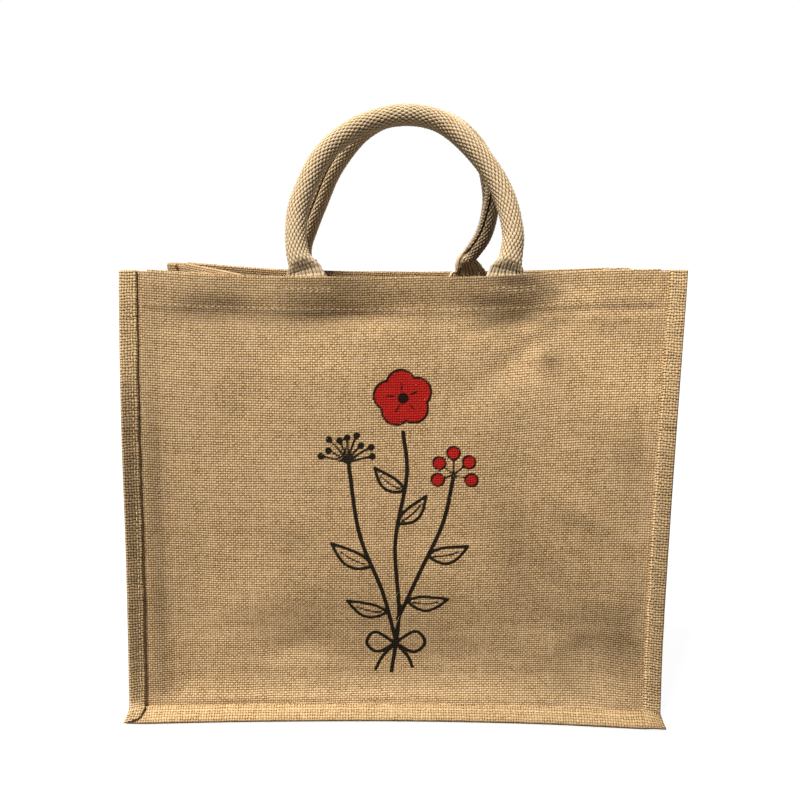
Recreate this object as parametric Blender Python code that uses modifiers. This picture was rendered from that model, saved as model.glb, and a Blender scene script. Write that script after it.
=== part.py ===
"""A plain jute shopping bag that stands open on its base.

A front and a back panel, each with its hem folded inside, are sewn to one long
gusset strip that makes the left side, the base and the right side. The edges are
turned outwards as a narrow flange, and bindings of the same cloth wrap the flange.
Two padded webbing handles are sewn inside the hems with flat feet.

Metres, +Z up, +X to the right seen from the front, and the front faces -Y. The
origin is on the floor under the middle of the base.
"""

import math

import bmesh
import bpy
from mathutils import Vector

# Cloth
CLOTH = 0.0011  # thickness of the burlap
GAP = 0.0003  # clear space between neighbouring pieces
MITRE_GAP = 0.0008  # the same between the slanting ends of two bindings
LAYER = 0.0015  # from the middle of one layer to the middle of the next
FLANGE = 0.0138  # from the seam to the outer edge of the binding
BINDING_MIDDLE = 0.45  # the line along the middle of a binding, as a share of FLANGE
BINDING_BACK = 0.18  # the binding's back leg stops this short of the seam
HEM = 0.027  # how far each hem is turned inside

# Body
GUSSET_HALF = 0.095  # half of the gusset's cloth width
PINCH = 0.067  # how far the middle of each side is drawn in at the rim
CREASE_ROUND = 0.08  # softness of that crease, as a share of the half width
CREASE_DIP = 0.0072  # how much lower the rim lies at the crease
CORNER_AT_SEAM = 0.007  # radius at which the gusset turns from side to base
CORNER_AT_MIDDLE = 0.016
BASE_ROLL = 0.32  # the base comes down to the floor in this share of its half width
BASE_LENGTH = 0.403  # between the side seams, at the base
SEAM_HEIGHT = 0.0130  # the bottom seam over the floor
RIM_HEIGHT = 0.3620  # the rim over the floor, at the corners
FOOT_TILT = math.radians(37)  # how far the bottom flange leans out from the vertical
CORNER_FLARE = 0.0045  # the flange's lower corners spread outwards
CORNER_BACK = 0.0050  # and lie back
CENTRED = (0.0022, 0.0022, 0.0)  # brings the middle of the whole bag over the origin

# Grid counts
COLUMNS = 16  # across a panel between its seams
ROWS = 14  # up a panel
FOLD_CELLS = 4
ARC_CELLS = 3
GUSSET_LINES = (1.0, 0.92, 0.84, 0.76, 0.68, 0.36, 0.12, 0.03)  # out from the crease

# The side seams: height, left x, right x, and the turn of the flange out of the
# panel on the left and on the right, in degrees.
FRONT_SIDES = (
    (0.0130, -0.2058, 0.1953, 20, 20),
    (0.0700, -0.2032, 0.1941, 18, 22),
    (0.1500, -0.2008, 0.1949, 16, 22),
    (0.2300, -0.2003, 0.1972, 16, 20),
    (0.3000, -0.2000, 0.2005, 15, 15),
    (0.3640, -0.2000, 0.2045, 12, 10),
)
BACK_SIDES = (
    (0.0130, -0.2015, 0.2005, 18, 18),
    (0.1200, -0.1995, 0.1980, 22, 20),
    (0.2400, -0.2000, 0.1985, 20, 22),
    (0.3640, -0.2008, 0.2005, 14, 12),
)

# The rim: x, height.
FRONT_RIM = (
    (-0.2000, 0.3620),
    (-0.1500, 0.3590),
    (-0.0750, 0.3568),
    (0.0000, 0.3565),
    (0.0800, 0.3574),
    (0.1220, 0.3608),
    (0.2045, 0.3628),
)
BACK_RIM = (
    (-0.2008, 0.3643),
    (-0.1100, 0.3578),
    (0.0000, 0.3559),
    (0.1100, 0.3568),
    (0.2005, 0.3600),
)

# The bottom seam: x, distance from the middle of the base.
FRONT_FOOT = (
    (-0.2058, 0.0925),
    (-0.1200, 0.0895),
    (0.0000, 0.0885),
    (0.1100, 0.0920),
    (0.1972, 0.0990),
)
BACK_FOOT = (
    (-0.2015, 0.0940),
    (-0.0800, 0.0900),
    (0.0700, 0.0905),
    (0.2005, 0.0945),
)

# Soft folds: x and z of the middle, half length, half width, turn of the long way
# from X towards Z in degrees, and how far the cloth stands out there.
FRONT_FOLDS = (
    (0.000, 0.115, 0.170, 0.050, 0, 0.0050),
    (0.000, 0.333, 0.200, 0.012, 0, -0.0022),
    (-0.090, 0.085, 0.045, 0.022, 20, -0.0030),
    (0.165, 0.080, 0.050, 0.022, 55, -0.0040),
    (0.135, 0.200, 0.070, 0.016, 125, 0.0030),
    (0.100, 0.300, 0.050, 0.016, 35, -0.0022),
    (-0.120, 0.250, 0.060, 0.030, 100, -0.0022),
    (0.060, 0.240, 0.050, 0.025, 70, 0.0020),
    (-0.170, 0.130, 0.060, 0.020, 90, -0.0022),
)
BACK_FOLDS = (
    (0.000, 0.110, 0.170, 0.055, 0, 0.0055),
    (0.000, 0.333, 0.200, 0.012, 0, -0.0022),
    (0.080, 0.210, 0.090, 0.020, 60, 0.0035),
    (-0.110, 0.180, 0.080, 0.022, 115, -0.0035),
    (-0.030, 0.270, 0.060, 0.020, 30, 0.0025),
    (0.150, 0.090, 0.050, 0.024, 130, -0.0040),
)
CALM_AT_SIDES = 0.16  # share of the width in which the folds fade out at a side seam
CALM_AT_FOOT = 0.10

# A handle's middle line: x, z, from inside the hem on the left, over the top, to
# inside the hem on the right.
FRONT_HANDLE = (
    (-0.0735, 0.3285),
    (-0.0735, 0.3440),
    (-0.0740, 0.3590),
    (-0.0760, 0.3660),
    (-0.0795, 0.3770),
    (-0.0803, 0.3965),
    (-0.0765, 0.4165),
    (-0.0612, 0.4480),
    (-0.0380, 0.4682),
    (-0.0110, 0.4785),
    (0.0150, 0.4795),
    (0.0375, 0.4710),
    (0.0620, 0.4475),
    (0.0788, 0.4205),
    (0.0860, 0.3925),
    (0.0850, 0.3760),
    (0.0825, 0.3650),
    (0.0815, 0.3590),
    (0.0812, 0.3440),
    (0.0810, 0.3285),
)
BACK_HANDLE = (
    (-0.0850, 0.3285),
    (-0.0850, 0.3440),
    (-0.0855, 0.3590),
    (-0.0865, 0.3660),
    (-0.0865, 0.3800),
    (-0.0825, 0.3940),
    (-0.0725, 0.4180),
    (-0.0590, 0.4455),
    (-0.0375, 0.4720),
    (-0.0150, 0.4860),
    (0.0080, 0.4900),
    (0.0380, 0.4850),
    (0.0570, 0.4738),
    (0.0720, 0.4550),
    (0.0795, 0.4280),
    (0.0795, 0.4090),
    (0.0750, 0.3900),
    (0.0670, 0.3750),
    (0.0630, 0.3660),
    (0.0628, 0.3590),
    (0.0628, 0.3440),
    (0.0628, 0.3285),
)
# Its section: height over the rim, width seen from the front, thickness, and how
# square the section is, where 2 is an ellipse.
FRONT_SECTION = (
    (-0.0300, 0.0310, 0.0026, 7),
    (0.0020, 0.0310, 0.0030, 7),
    (0.0080, 0.0240, 0.0070, 3.5),
    (0.0150, 0.0172, 0.0130, 2.3),
    (0.0300, 0.0162, 0.0165, 2),
)
BACK_SECTION = (
    (-0.0300, 0.0360, 0.0026, 7),
    (0.0040, 0.0360, 0.0032, 7),
    (0.0110, 0.0200, 0.0080, 3),
    (0.0180, 0.0130, 0.0150, 2.2),
    (0.0320, 0.0148, 0.0165, 2),
)
HANDLE_RIM = 0.3570  # the rim beside the feet
HANDLE_LEAN = 0.25  # how fast a handle leans in over the mouth, for its height
HANDLE_CELLS = 32
HANDLE_SIDES = 12
FOOT_CLEAR = 0.0001  # more room behind a foot, for the hem's own unevenness

NEAR = 0.01  # the step, in shares of a piece, over which a slope is measured

# Colours
BURLAP = (0.42, 0.28, 0.14, 1.0)
BINDING_BURLAP = (0.46, 0.32, 0.17, 1.0)
WEBBING = (0.45, 0.34, 0.22, 1.0)
ROUGH_CLOTH = 0.95


def between(low, high, share):
    return low + (high - low) * share


def smooth(share):
    """Rises from 0 to 1 with level ends."""
    share = min(1.0, max(0.0, share))
    return share * share * (3.0 - 2.0 * share)


def read(table, at, column):
    """A smooth curve through one column of a table, over the table's first column."""
    keys = [row[0] for row in table]
    values = [row[column] for row in table]
    if at <= keys[0]:
        return values[0]
    if at >= keys[-1]:
        return values[-1]
    last = len(keys) - 1
    i = max(k for k in range(last) if keys[k] <= at)

    def slope(k):
        before = max(0, k - 1)
        after = min(last, k + 1)
        return (values[after] - values[before]) / (keys[after] - keys[before])

    step = keys[i + 1] - keys[i]
    t = (at - keys[i]) / step
    rest = 1 - t
    ends = values[i] * (1 + 2 * t) * rest**2 + values[i + 1] * t**2 * (3 - 2 * t)
    return ends + step * t * rest * (slope(i) * rest - slope(i + 1) * t)


class Panel:
    """The middle surface of a front or back panel, with the flange around it.

    across runs from 0 at the left seam to 1 at the right one, and up from 0 at the
    bottom seam to 1 at the rim. Past those the flange begins: it runs from 0 to -1,
    or from 1 to 2, from its seam to its outer edge.
    """

    def __init__(self, facing, sides, rim, foot, folds):
        self.facing = facing  # -1 is the front, 1 the back
        self.sides = sides
        self.rim = rim
        self.foot = foot
        self.folds = folds

    def relief(self, x, z):
        total = 0.0
        for middle_x, middle_z, length, width, turn, height in self.folds:
            cosine = math.cos(math.radians(turn))
            sine = math.sin(math.radians(turn))
            along = (x - middle_x) * cosine + (z - middle_z) * sine
            aside = (z - middle_z) * cosine - (x - middle_x) * sine
            total += height * math.exp(-((along / length) ** 2) - (aside / width) ** 2)
        return total

    def body(self, across, up):
        level = between(SEAM_HEIGHT, RIM_HEIGHT, up)
        x = between(read(self.sides, level, 1), read(self.sides, level, 2), across)
        z = between(SEAM_HEIGHT, read(self.rim, x, 1), up)
        depth = math.sqrt(GUSSET_HALF**2 - (PINCH * up) ** 2)
        depth += (read(self.foot, x, 1) - GUSSET_HALF) * (1 - up) ** 2
        calm = smooth(across / CALM_AT_SIDES) * smooth((1 - across) / CALM_AT_SIDES)
        calm *= smooth(up / CALM_AT_FOOT)
        return Vector((x, self.facing * (depth + calm * self.relief(x, z)), z))

    def point(self, across, up):
        inner = self.body(min(1.0, max(0.0, across)), min(1.0, up if up > 0 else 0.0))
        aside = max(-across, across - 1.0, 0.0)
        below = max(-up, 0.0)
        way = 1 if across > 0.5 else -1
        turn = math.radians(read(self.sides, inner.z, 4 if way > 0 else 3))
        out = Vector((way * math.cos(turn), self.facing * math.sin(turn), 0))
        down = Vector((0, self.facing * math.sin(FOOT_TILT), -math.cos(FOOT_TILT)))
        flare = Vector((way * CORNER_FLARE, -self.facing * CORNER_BACK, 0))
        return inner + (out * aside + down * below) * FLANGE + flare * aside * below

    def outward(self, across, up):
        """The way out of the bag at a place on the panel or its flange."""
        over = self.point(across + NEAR, up) - self.point(across - NEAR, up)
        top = min(1.0, up + NEAR)
        rise = self.point(across, top) - self.point(across, up - NEAR)
        return over.cross(rise).normalized() * -self.facing

    def hemmed(self, across, past):
        """A place past the rim: over the fold, then down the inside."""
        radius = LAYER / 2
        turn = min(past / radius, math.pi)
        below = max(0.0, past - radius * math.pi)
        up = 1 - below / (RIM_HEIGHT - SEAM_HEIGHT)
        inward = self.outward(across, up) * -1
        over = inward * radius * (1 - math.cos(turn))
        return self.point(across, up) + over + Vector((0, 0, radius * math.sin(turn)))

    def in_flange(self, edge, along, out, height):
        """A place in the flange: out is 0 at the seam and 1 at the outer edge, and
        height counts from the panel's own layer away from the bag. along is the
        panel's up for the left and right edges, and its across for the foot."""
        past_seam = max(out, 2 * NEAR)
        if edge == "foot":
            return self.point(along, -out) + self.outward(along, -past_seam) * height
        seam, way = (1, 1) if edge == "right" else (0, -1)
        normal = self.outward(seam + way * past_seam, along)
        return self.point(seam + way * out, along) + normal * height


FRONT = Panel(-1, FRONT_SIDES, FRONT_RIM, FRONT_FOOT, FRONT_FOLDS)
BACK = Panel(1, BACK_SIDES, BACK_RIM, BACK_FOOT, BACK_FOLDS)

CORNER_SHARE_ACROSS = CORNER_AT_SEAM / BASE_LENGTH
CORNER_SHARE_UP = CORNER_AT_SEAM / (RIM_HEIGHT - SEAM_HEIGHT)
BINDING_FOLD = LAYER * 1.5  # radius of the binding around the two layers in it
FOLD_START = 1 - (BINDING_FOLD + CLOTH / 2) / FLANGE  # where the binding begins to turn


def even_steps(start, end, cells):
    return [between(start, end, k / cells) for k in range(cells + 1)]


def panel_columns():
    inner = even_steps(CORNER_SHARE_ACROSS, 1 - CORNER_SHARE_ACROSS, COLUMNS)
    return [-FOLD_START, 0.0, *inner, 1.0, 1 + FOLD_START]


def panel_rows():
    return [-FOLD_START, 0.0, *even_steps(CORNER_SHARE_UP, 1.0, ROWS)]


def new_material(name, colour):
    material = bpy.data.materials.new(name)
    material.use_nodes = True
    shader = material.node_tree.nodes["Principled BSDF"]
    shader.inputs["Base Color"].default_value = colour
    shader.inputs["Roughness"].default_value = ROUGH_CLOTH
    shader.inputs["Metallic"].default_value = 0.0
    return material


def shaped_grid(name, columns, rows, place, keep=None, round_it=False, creases=()):
    """A grid primitive whose point in column i and row j goes to place(i, j). Each of
    creases is a pair of opposite corners of a cell, which then bends between them."""
    mesh = bmesh.new()
    bmesh.ops.create_grid(mesh, x_segments=columns, y_segments=rows, size=1.0)
    where = {}
    for vertex in mesh.verts:
        i = round((vertex.co.x + 1) / 2 * columns)
        j = round((vertex.co.y + 1) / 2 * rows)
        where[vertex.index] = (i, j)
    dropped = []
    for face in mesh.faces:
        i = min(where[v.index][0] for v in face.verts)
        j = min(where[v.index][1] for v in face.verts)
        if keep and not keep(i, j):
            dropped.append(face)
    for vertex in mesh.verts:
        vertex.co = place(*where[vertex.index])
    at = {where[vertex.index]: vertex for vertex in mesh.verts}
    for start, end in creases:
        shared = set(at[start].link_faces) & set(at[end].link_faces)
        bmesh.utils.face_split(shared.pop(), at[start], at[end])
    bmesh.ops.delete(mesh, geom=dropped, context="FACES")
    if round_it:
        bmesh.ops.remove_doubles(mesh, verts=mesh.verts, dist=1e-6)
        rim = [edge for edge in mesh.edges if edge.is_boundary]
        bmesh.ops.holes_fill(mesh, edges=rim, sides=0)
        bmesh.ops.recalc_face_normals(mesh, faces=mesh.faces)
    data = bpy.data.meshes.new(name)
    mesh.to_mesh(data)
    mesh.free()
    data.shade_smooth()
    return bpy.data.objects.new(name, data)


def add_piece(piece, material, collection, cloth=True):
    piece.data.materials.append(material)
    piece.location = CENTRED
    collection.objects.link(piece)
    if cloth:
        thickness = piece.modifiers.new("Cloth", "SOLIDIFY")
        thickness.thickness = CLOTH
        thickness.offset = 0.0
        thickness.use_quality_normals = True


def make_panel(name, panel):
    columns = panel_columns()
    rows = panel_rows()
    turned = LAYER / 2 * math.pi
    past_rim = [turned * k / FOLD_CELLS for k in range(1, FOLD_CELLS + 1)]
    past_rim += [turned + HEM / 2, turned + HEM]

    def place(i, j):
        if j < len(rows):
            return panel.point(columns[i], rows[j])
        return panel.hemmed(columns[i], past_rim[j - len(rows)])

    def keep(i, j):
        """The turned-in hem stops short of the side seams."""
        return j < len(rows) - 1 or 2 <= i < len(columns) - 3

    last = len(columns) - 1
    corners = (((1, 1), (0, 0)), ((last - 1, 1), (last, 0)))
    total_rows = len(rows) + len(past_rim) - 1
    return shaped_grid(name, last, total_rows, place, keep, creases=corners)


def crease(share):
    """1 at the crease down the middle of a side, falling to 0 at its seams."""
    far = math.hypot(1, CREASE_ROUND) - CREASE_ROUND
    return 1 - (math.hypot(share, CREASE_ROUND) - CREASE_ROUND) / far


def base_height(share, at_seam):
    """The base cloth's middle over the floor."""
    return between(CLOTH / 2, at_seam, smooth((abs(share) - 1 + BASE_ROLL) / BASE_ROLL))


class Gusset:
    """The strip around the bag. share runs from -1 at the front seam to 1 at the
    back seam, and past those the strip's edges lie in the flanges."""

    def seam(self, edge, along, share, out=0.0):
        panel = FRONT if share < 0 else BACK
        return panel.in_flange(edge, along, out, -LAYER)

    def side(self, edge, up, share):
        if abs(share) > 1:
            return self.seam(edge, up, share, (abs(share) - 1) * FOLD_START)
        front = self.seam(edge, up, -1)
        back = self.seam(edge, up, 1)
        if abs(share) == 1:
            return front if share < 0 else back
        inward = 1 if edge == "left" else -1
        place = front.lerp(back, (share + 1) / 2)
        place.x += inward * PINCH * up * crease(share)
        radius = between(CORNER_AT_MIDDLE, CORNER_AT_SEAM, share**2)
        seam_height = self.seam("foot", 0.0 if edge == "left" else 1.0, -1).z
        low = base_height(share, seam_height) + radius
        high = between(self.seam(edge, 1.0, -1).z, self.seam(edge, 1.0, 1).z, (share + 1) / 2)
        high -= CREASE_DIP * crease(share)
        place.z = between(low, high, (up - CORNER_SHARE_UP) / (1 - CORNER_SHARE_UP))
        return place

    def base(self, across, share):
        if abs(share) > 1:
            return self.seam("foot", across, share, (abs(share) - 1) * FOLD_START)
        front = self.seam("foot", across, -1)
        back = self.seam("foot", across, 1)
        place = front.lerp(back, (share + 1) / 2)
        place.z = base_height(share, place.z)
        return place

    def corner(self, edge, turn, share):
        """A quarter turn from the lower end of the side to the end of the base."""
        share = max(-1.0, min(1.0, share))
        start = self.side(edge, CORNER_SHARE_UP, share)
        across = CORNER_SHARE_ACROSS if edge == "left" else 1 - CORNER_SHARE_ACROSS
        end = self.base(across, share)
        place = start.lerp(end, turn)
        place.x = between(start.x, end.x, 1 - math.cos(turn * math.pi / 2))
        place.z = between(end.z, start.z, 1 - math.sin(turn * math.pi / 2))
        return place

    def hemmed(self, edge, past, share):
        """A place past the rim: over the fold, then down the inside."""
        radius = LAYER / 2
        turn = min(past / radius, math.pi)
        below = max(0.0, past - radius * math.pi)
        up = 1 - below / (RIM_HEIGHT - SEAM_HEIGHT)
        place = self.side(edge, up, share)
        behind = self.side(edge, up, min(1.0, share + NEAR))
        before = self.side(edge, up, max(-1.0, share - NEAR))
        rise = place - self.side(edge, up - NEAR, share)
        inward = (behind - before).cross(rise).normalized() * (1 if edge == "left" else -1)
        over = inward * radius * (1 - math.cos(turn))
        return place + over + Vector((0, 0, radius * math.sin(turn)))

    def stations(self):
        """Each line across the strip, from the left hem round to the right hem."""
        turned = LAYER / 2 * math.pi
        past_rim = [turned + HEM, turned + HEM / 2]
        past_rim += [turned * k / FOLD_CELLS for k in range(FOLD_CELLS, 0, -1)]
        ups = even_steps(CORNER_SHARE_UP, 1.0, ROWS)
        acrosses = even_steps(CORNER_SHARE_ACROSS, 1 - CORNER_SHARE_ACROSS, COLUMNS)
        turns = [k / ARC_CELLS for k in range(1, ARC_CELLS)]
        left = [("hem", "left", past) for past in past_rim]
        left += [("side", "left", up) for up in reversed(ups)]
        left += [("corner", "left", turn) for turn in turns]
        right = [("corner", "right", turn) for turn in reversed(turns)]
        right += [("side", "right", up) for up in ups]
        right += [("hem", "right", past) for past in reversed(past_rim)]
        return left + [("base", None, across) for across in acrosses] + right

    def place(self, station, share):
        kind, edge, at = station
        if kind == "hem":
            return self.hemmed(edge, at, share)
        if kind == "side":
            return self.side(edge, at, share)
        if kind == "corner":
            return self.corner(edge, at, share)
        return self.base(at, share)


def make_gusset(name):
    gusset = Gusset()
    stations = gusset.stations()
    shares = [-2.0, *[-line for line in GUSSET_LINES], *reversed(GUSSET_LINES), 2.0]

    def place(i, j):
        return gusset.place(stations[j], shares[i])

    def keep(i, j):
        """The edges are snipped at the corners, and the hem stops short of them."""
        kinds = (stations[j][0], stations[j + 1][0])
        in_edge = i == 0 or i == len(shares) - 2
        beside_edge = i == 1 or i == len(shares) - 3
        if "corner" in kinds:
            return not in_edge
        if "hem" in kinds:
            return not in_edge and not beside_edge
        return True

    return shaped_grid(name, len(shares) - 1, len(stations) - 1, place, keep)


def binding_section():
    """Across a binding: how far out it lies and its height over the panel's layer."""
    middle = -LAYER / 2
    front = [(out, LAYER) for out in (0.0, BINDING_MIDDLE)]
    back = [(out, -2 * LAYER) for out in (BINDING_MIDDLE, BINDING_BACK)]
    turn = []
    for k in range(FOLD_CELLS + 1):
        angle = math.pi * k / FOLD_CELLS
        out = FOLD_START + BINDING_FOLD * math.sin(angle) / FLANGE
        turn.append((out, middle + BINDING_FOLD * math.cos(angle)))
    return front + turn + back


def make_binding(name, panel, edge):
    """One strip of the binding, mitred where it meets the next at a lower corner."""
    section = binding_section()
    if edge == "foot":
        length = BASE_LENGTH
        inner = even_steps(CORNER_SHARE_ACROSS, 1 - CORNER_SHARE_ACROSS, COLUMNS)
        steps = ["mitre", "seam", *inner, "far seam", "far mitre"]
    else:
        length = RIM_HEIGHT - SEAM_HEIGHT
        steps = ["mitre", "seam", *even_steps(CORNER_SHARE_UP, 1.0, ROWS)]

    def before_corner(step, out):
        """The place along the strip, where the corner of the seams is at 0."""
        if step.endswith("seam"):
            return max(0.0, 2 * MITRE_GAP - out * FLANGE / 2) / length
        past = out * FLANGE - MITRE_GAP
        return -past / (FLANGE if past > 0 else length)

    def place(i, j):
        out, height = section[i]
        along = steps[j]
        if along in ("mitre", "seam"):
            along = before_corner(along, out)
        elif along in ("far mitre", "far seam"):
            along = 1 - before_corner(along, out)
        return panel.in_flange(edge, along, out, height)

    return shaped_grid(name, len(section) - 1, len(steps) - 1, place)


def handle_line(panel, table, share):
    """A place on the middle line of a handle, share of the way along its rows."""
    at = share * (len(table) - 1)
    numbered = [(k, x, z) for k, (x, z) in enumerate(table)]
    x = read(numbered, at, 1)
    z = read(numbered, at, 2)
    behind_hem = LAYER + CLOTH / 2 + GAP + FRONT_SECTION[0][2] / 2 + FOOT_CLEAR
    height = min(z, HANDLE_RIM)
    up = (height - SEAM_HEIGHT) / (read(panel.rim, x, 1) - SEAM_HEIGHT)
    left = read(panel.sides, height, 1)
    right = read(panel.sides, height, 2)
    hem = panel.body((x - left) / (right - left), min(1.0, up))
    lean = behind_hem + HANDLE_LEAN * max(0.0, z - HANDLE_RIM)
    return Vector((x, hem.y - panel.facing * lean, z))


def make_handle(name, panel, table, section):
    def ring(j):
        share = j / HANDLE_CELLS
        step = 0.25 / HANDLE_CELLS
        ahead = handle_line(panel, table, min(1.0, share + step))
        behind = handle_line(panel, table, max(0.0, share - step))
        middle = handle_line(panel, table, share)
        along = (ahead - behind).normalized()
        broad = Vector((0, 1, 0)).cross(along).normalized()
        deep = along.cross(broad)
        over_rim = middle.z - HANDLE_RIM
        width, thickness, square = (read(section, over_rim, k) for k in (1, 2, 3))
        return middle, broad * width / 2, deep * thickness / 2, square

    rings = [ring(j) for j in range(HANDLE_CELLS + 1)]

    def place(i, j):
        middle, broad, deep, square = rings[j]
        angle = 2 * math.pi * (i % HANDLE_SIDES + 0.5) / HANDLE_SIDES
        cosine, sine = math.cos(angle), math.sin(angle)
        size = (abs(cosine) ** square + abs(sine) ** square) ** (-1 / square)
        return middle + broad * cosine * size + deep * sine * size

    return shaped_grid(name, HANDLE_SIDES, HANDLE_CELLS, place, round_it=True)


def clear_scene():
    for thing in list(bpy.data.objects):
        bpy.data.objects.remove(thing, do_unlink=True)


def main():
    clear_scene()
    bag = bpy.data.collections.new("jute_bag")
    bpy.context.scene.collection.children.link(bag)
    burlap = new_material("burlap", BURLAP)
    binding_burlap = new_material("binding_burlap", BINDING_BURLAP)
    webbing = new_material("webbing", WEBBING)

    add_piece(make_panel("front_panel", FRONT), burlap, bag)
    add_piece(make_panel("back_panel", BACK), burlap, bag)
    add_piece(make_gusset("gusset"), burlap, bag)
    for side, panel in (("front", FRONT), ("back", BACK)):
        for edge in ("left", "foot", "right"):
            binding = make_binding(f"{side}_binding_{edge}", panel, edge)
            add_piece(binding, binding_burlap, bag)
    front_handle = make_handle("front_handle", FRONT, FRONT_HANDLE, FRONT_SECTION)
    back_handle = make_handle("back_handle", BACK, BACK_HANDLE, BACK_SECTION)
    add_piece(front_handle, webbing, bag, cloth=False)
    add_piece(back_handle, webbing, bag, cloth=False)


main()
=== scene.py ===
"""The looks of a plain jute shopping bag with two padded webbing handles.

The cloth pieces repeat the CAD part's tables and shapes with finer grids, as thin
sheets with rolled edges, a woven surface, sewing thread and stray jute fibres.
"""

import math

import bmesh
import bpy
import numpy as np
from mathutils import Matrix, Vector


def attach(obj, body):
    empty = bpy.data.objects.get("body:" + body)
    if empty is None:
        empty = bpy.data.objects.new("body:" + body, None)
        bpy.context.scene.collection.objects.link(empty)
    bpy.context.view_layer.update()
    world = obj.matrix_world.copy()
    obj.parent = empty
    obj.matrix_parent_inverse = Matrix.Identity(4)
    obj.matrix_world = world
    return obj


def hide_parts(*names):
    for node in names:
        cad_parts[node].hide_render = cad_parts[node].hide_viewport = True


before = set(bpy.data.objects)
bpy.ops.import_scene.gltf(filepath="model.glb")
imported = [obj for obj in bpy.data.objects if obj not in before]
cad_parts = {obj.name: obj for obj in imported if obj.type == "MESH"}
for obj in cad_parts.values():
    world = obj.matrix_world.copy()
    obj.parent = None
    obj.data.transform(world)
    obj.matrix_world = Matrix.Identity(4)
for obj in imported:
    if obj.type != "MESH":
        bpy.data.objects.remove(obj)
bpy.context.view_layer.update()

# Cloth, in metres
CLOTH = 0.0011  # thickness of the burlap
LAYER = 0.0015  # from the middle of one layer to the middle of the next
FLANGE = 0.0138  # from the seam to the outer edge of the binding
HEM = 0.027  # how far each hem is turned inside
FOLD_RADIUS = LAYER / 2  # of a hem's fold at the rim
THREAD_PITCH = (0.00182, 0.00190)  # between lengthwise, and between crosswise threads

# Body
GUSSET_HALF = 0.095
PINCH = 0.067
CREASE_ROUND = 0.08
CREASE_DIP = 0.0072
CORNER_AT_SEAM = 0.007
CORNER_AT_MIDDLE = 0.016
BASE_ROLL = 0.32
BASE_LENGTH = 0.403
SEAM_HEIGHT = 0.0130
RIM_HEIGHT = 0.3620
SIDE_LENGTH = RIM_HEIGHT - SEAM_HEIGHT
FOOT_TILT = math.radians(37)
CORNER_FLARE = 0.0045
CORNER_BACK = 0.0050
CENTRED = np.array((0.0022, 0.0022, 0.0))

# The side seams: height, left x, right x, and the flange's turn left and right.
FRONT_SIDES = (
    (0.0130, -0.2058, 0.1953, 20, 20),
    (0.0700, -0.2032, 0.1941, 18, 22),
    (0.1500, -0.2008, 0.1949, 16, 22),
    (0.2300, -0.2003, 0.1972, 16, 20),
    (0.3000, -0.2000, 0.2005, 15, 15),
    (0.3640, -0.2000, 0.2045, 12, 10),
)
BACK_SIDES = (
    (0.0130, -0.2015, 0.2005, 18, 18),
    (0.1200, -0.1995, 0.1980, 22, 20),
    (0.2400, -0.2006, 0.1985, 20, 22),
    (0.3640, -0.2034, 0.2005, 14, 12),
)

# The rim: x, height.
FRONT_RIM = (
    (-0.2000, 0.3620),
    (-0.1500, 0.3590),
    (-0.0750, 0.3568),
    (0.0000, 0.3565),
    (0.0800, 0.3574),
    (0.1220, 0.3608),
    (0.2045, 0.3628),
)
BACK_RIM = (
    (-0.2008, 0.3643),
    (-0.1100, 0.3578),
    (0.0000, 0.3559),
    (0.1100, 0.3568),
    (0.2005, 0.3600),
)

# The bottom seam: x, distance from the middle of the base.
FRONT_FOOT = (
    (-0.2058, 0.0925),
    (-0.1200, 0.0895),
    (0.0000, 0.0885),
    (0.1100, 0.0920),
    (0.1972, 0.0990),
)
BACK_FOOT = (
    (-0.2015, 0.0940),
    (-0.0800, 0.0900),
    (0.0700, 0.0905),
    (0.2005, 0.0945),
)

# Soft folds: x and z of the middle, half length, half width, turn of the long way
# from X towards Z in degrees, and how far the cloth stands out there.
FRONT_FOLDS = (
    (0.000, 0.115, 0.170, 0.050, 0, 0.0050),
    (0.000, 0.333, 0.200, 0.012, 0, -0.0022),
    (-0.090, 0.085, 0.045, 0.022, 20, -0.0030),
    (0.165, 0.080, 0.050, 0.022, 55, -0.0040),
    (0.135, 0.200, 0.070, 0.016, 125, 0.0030),
    (0.100, 0.300, 0.050, 0.016, 35, -0.0022),
    (-0.120, 0.250, 0.060, 0.030, 100, -0.0022),
    (0.060, 0.240, 0.050, 0.025, 70, 0.0020),
    (-0.170, 0.130, 0.060, 0.020, 90, -0.0022),
)
BACK_FOLDS = (
    (0.000, 0.110, 0.170, 0.055, 0, 0.0055),
    (0.000, 0.333, 0.200, 0.012, 0, -0.0022),
    (0.080, 0.210, 0.090, 0.020, 60, 0.0035),
    (-0.110, 0.180, 0.080, 0.022, 115, -0.0035),
    (-0.030, 0.270, 0.060, 0.020, 30, 0.0025),
    (0.150, 0.090, 0.050, 0.024, 130, -0.0040),
)
CALM_AT_SIDES = 0.16
CALM_AT_FOOT = 0.10
FOOT_TUCK = 0.0050  # how far the cloth draws in just above the bottom seam

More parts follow.
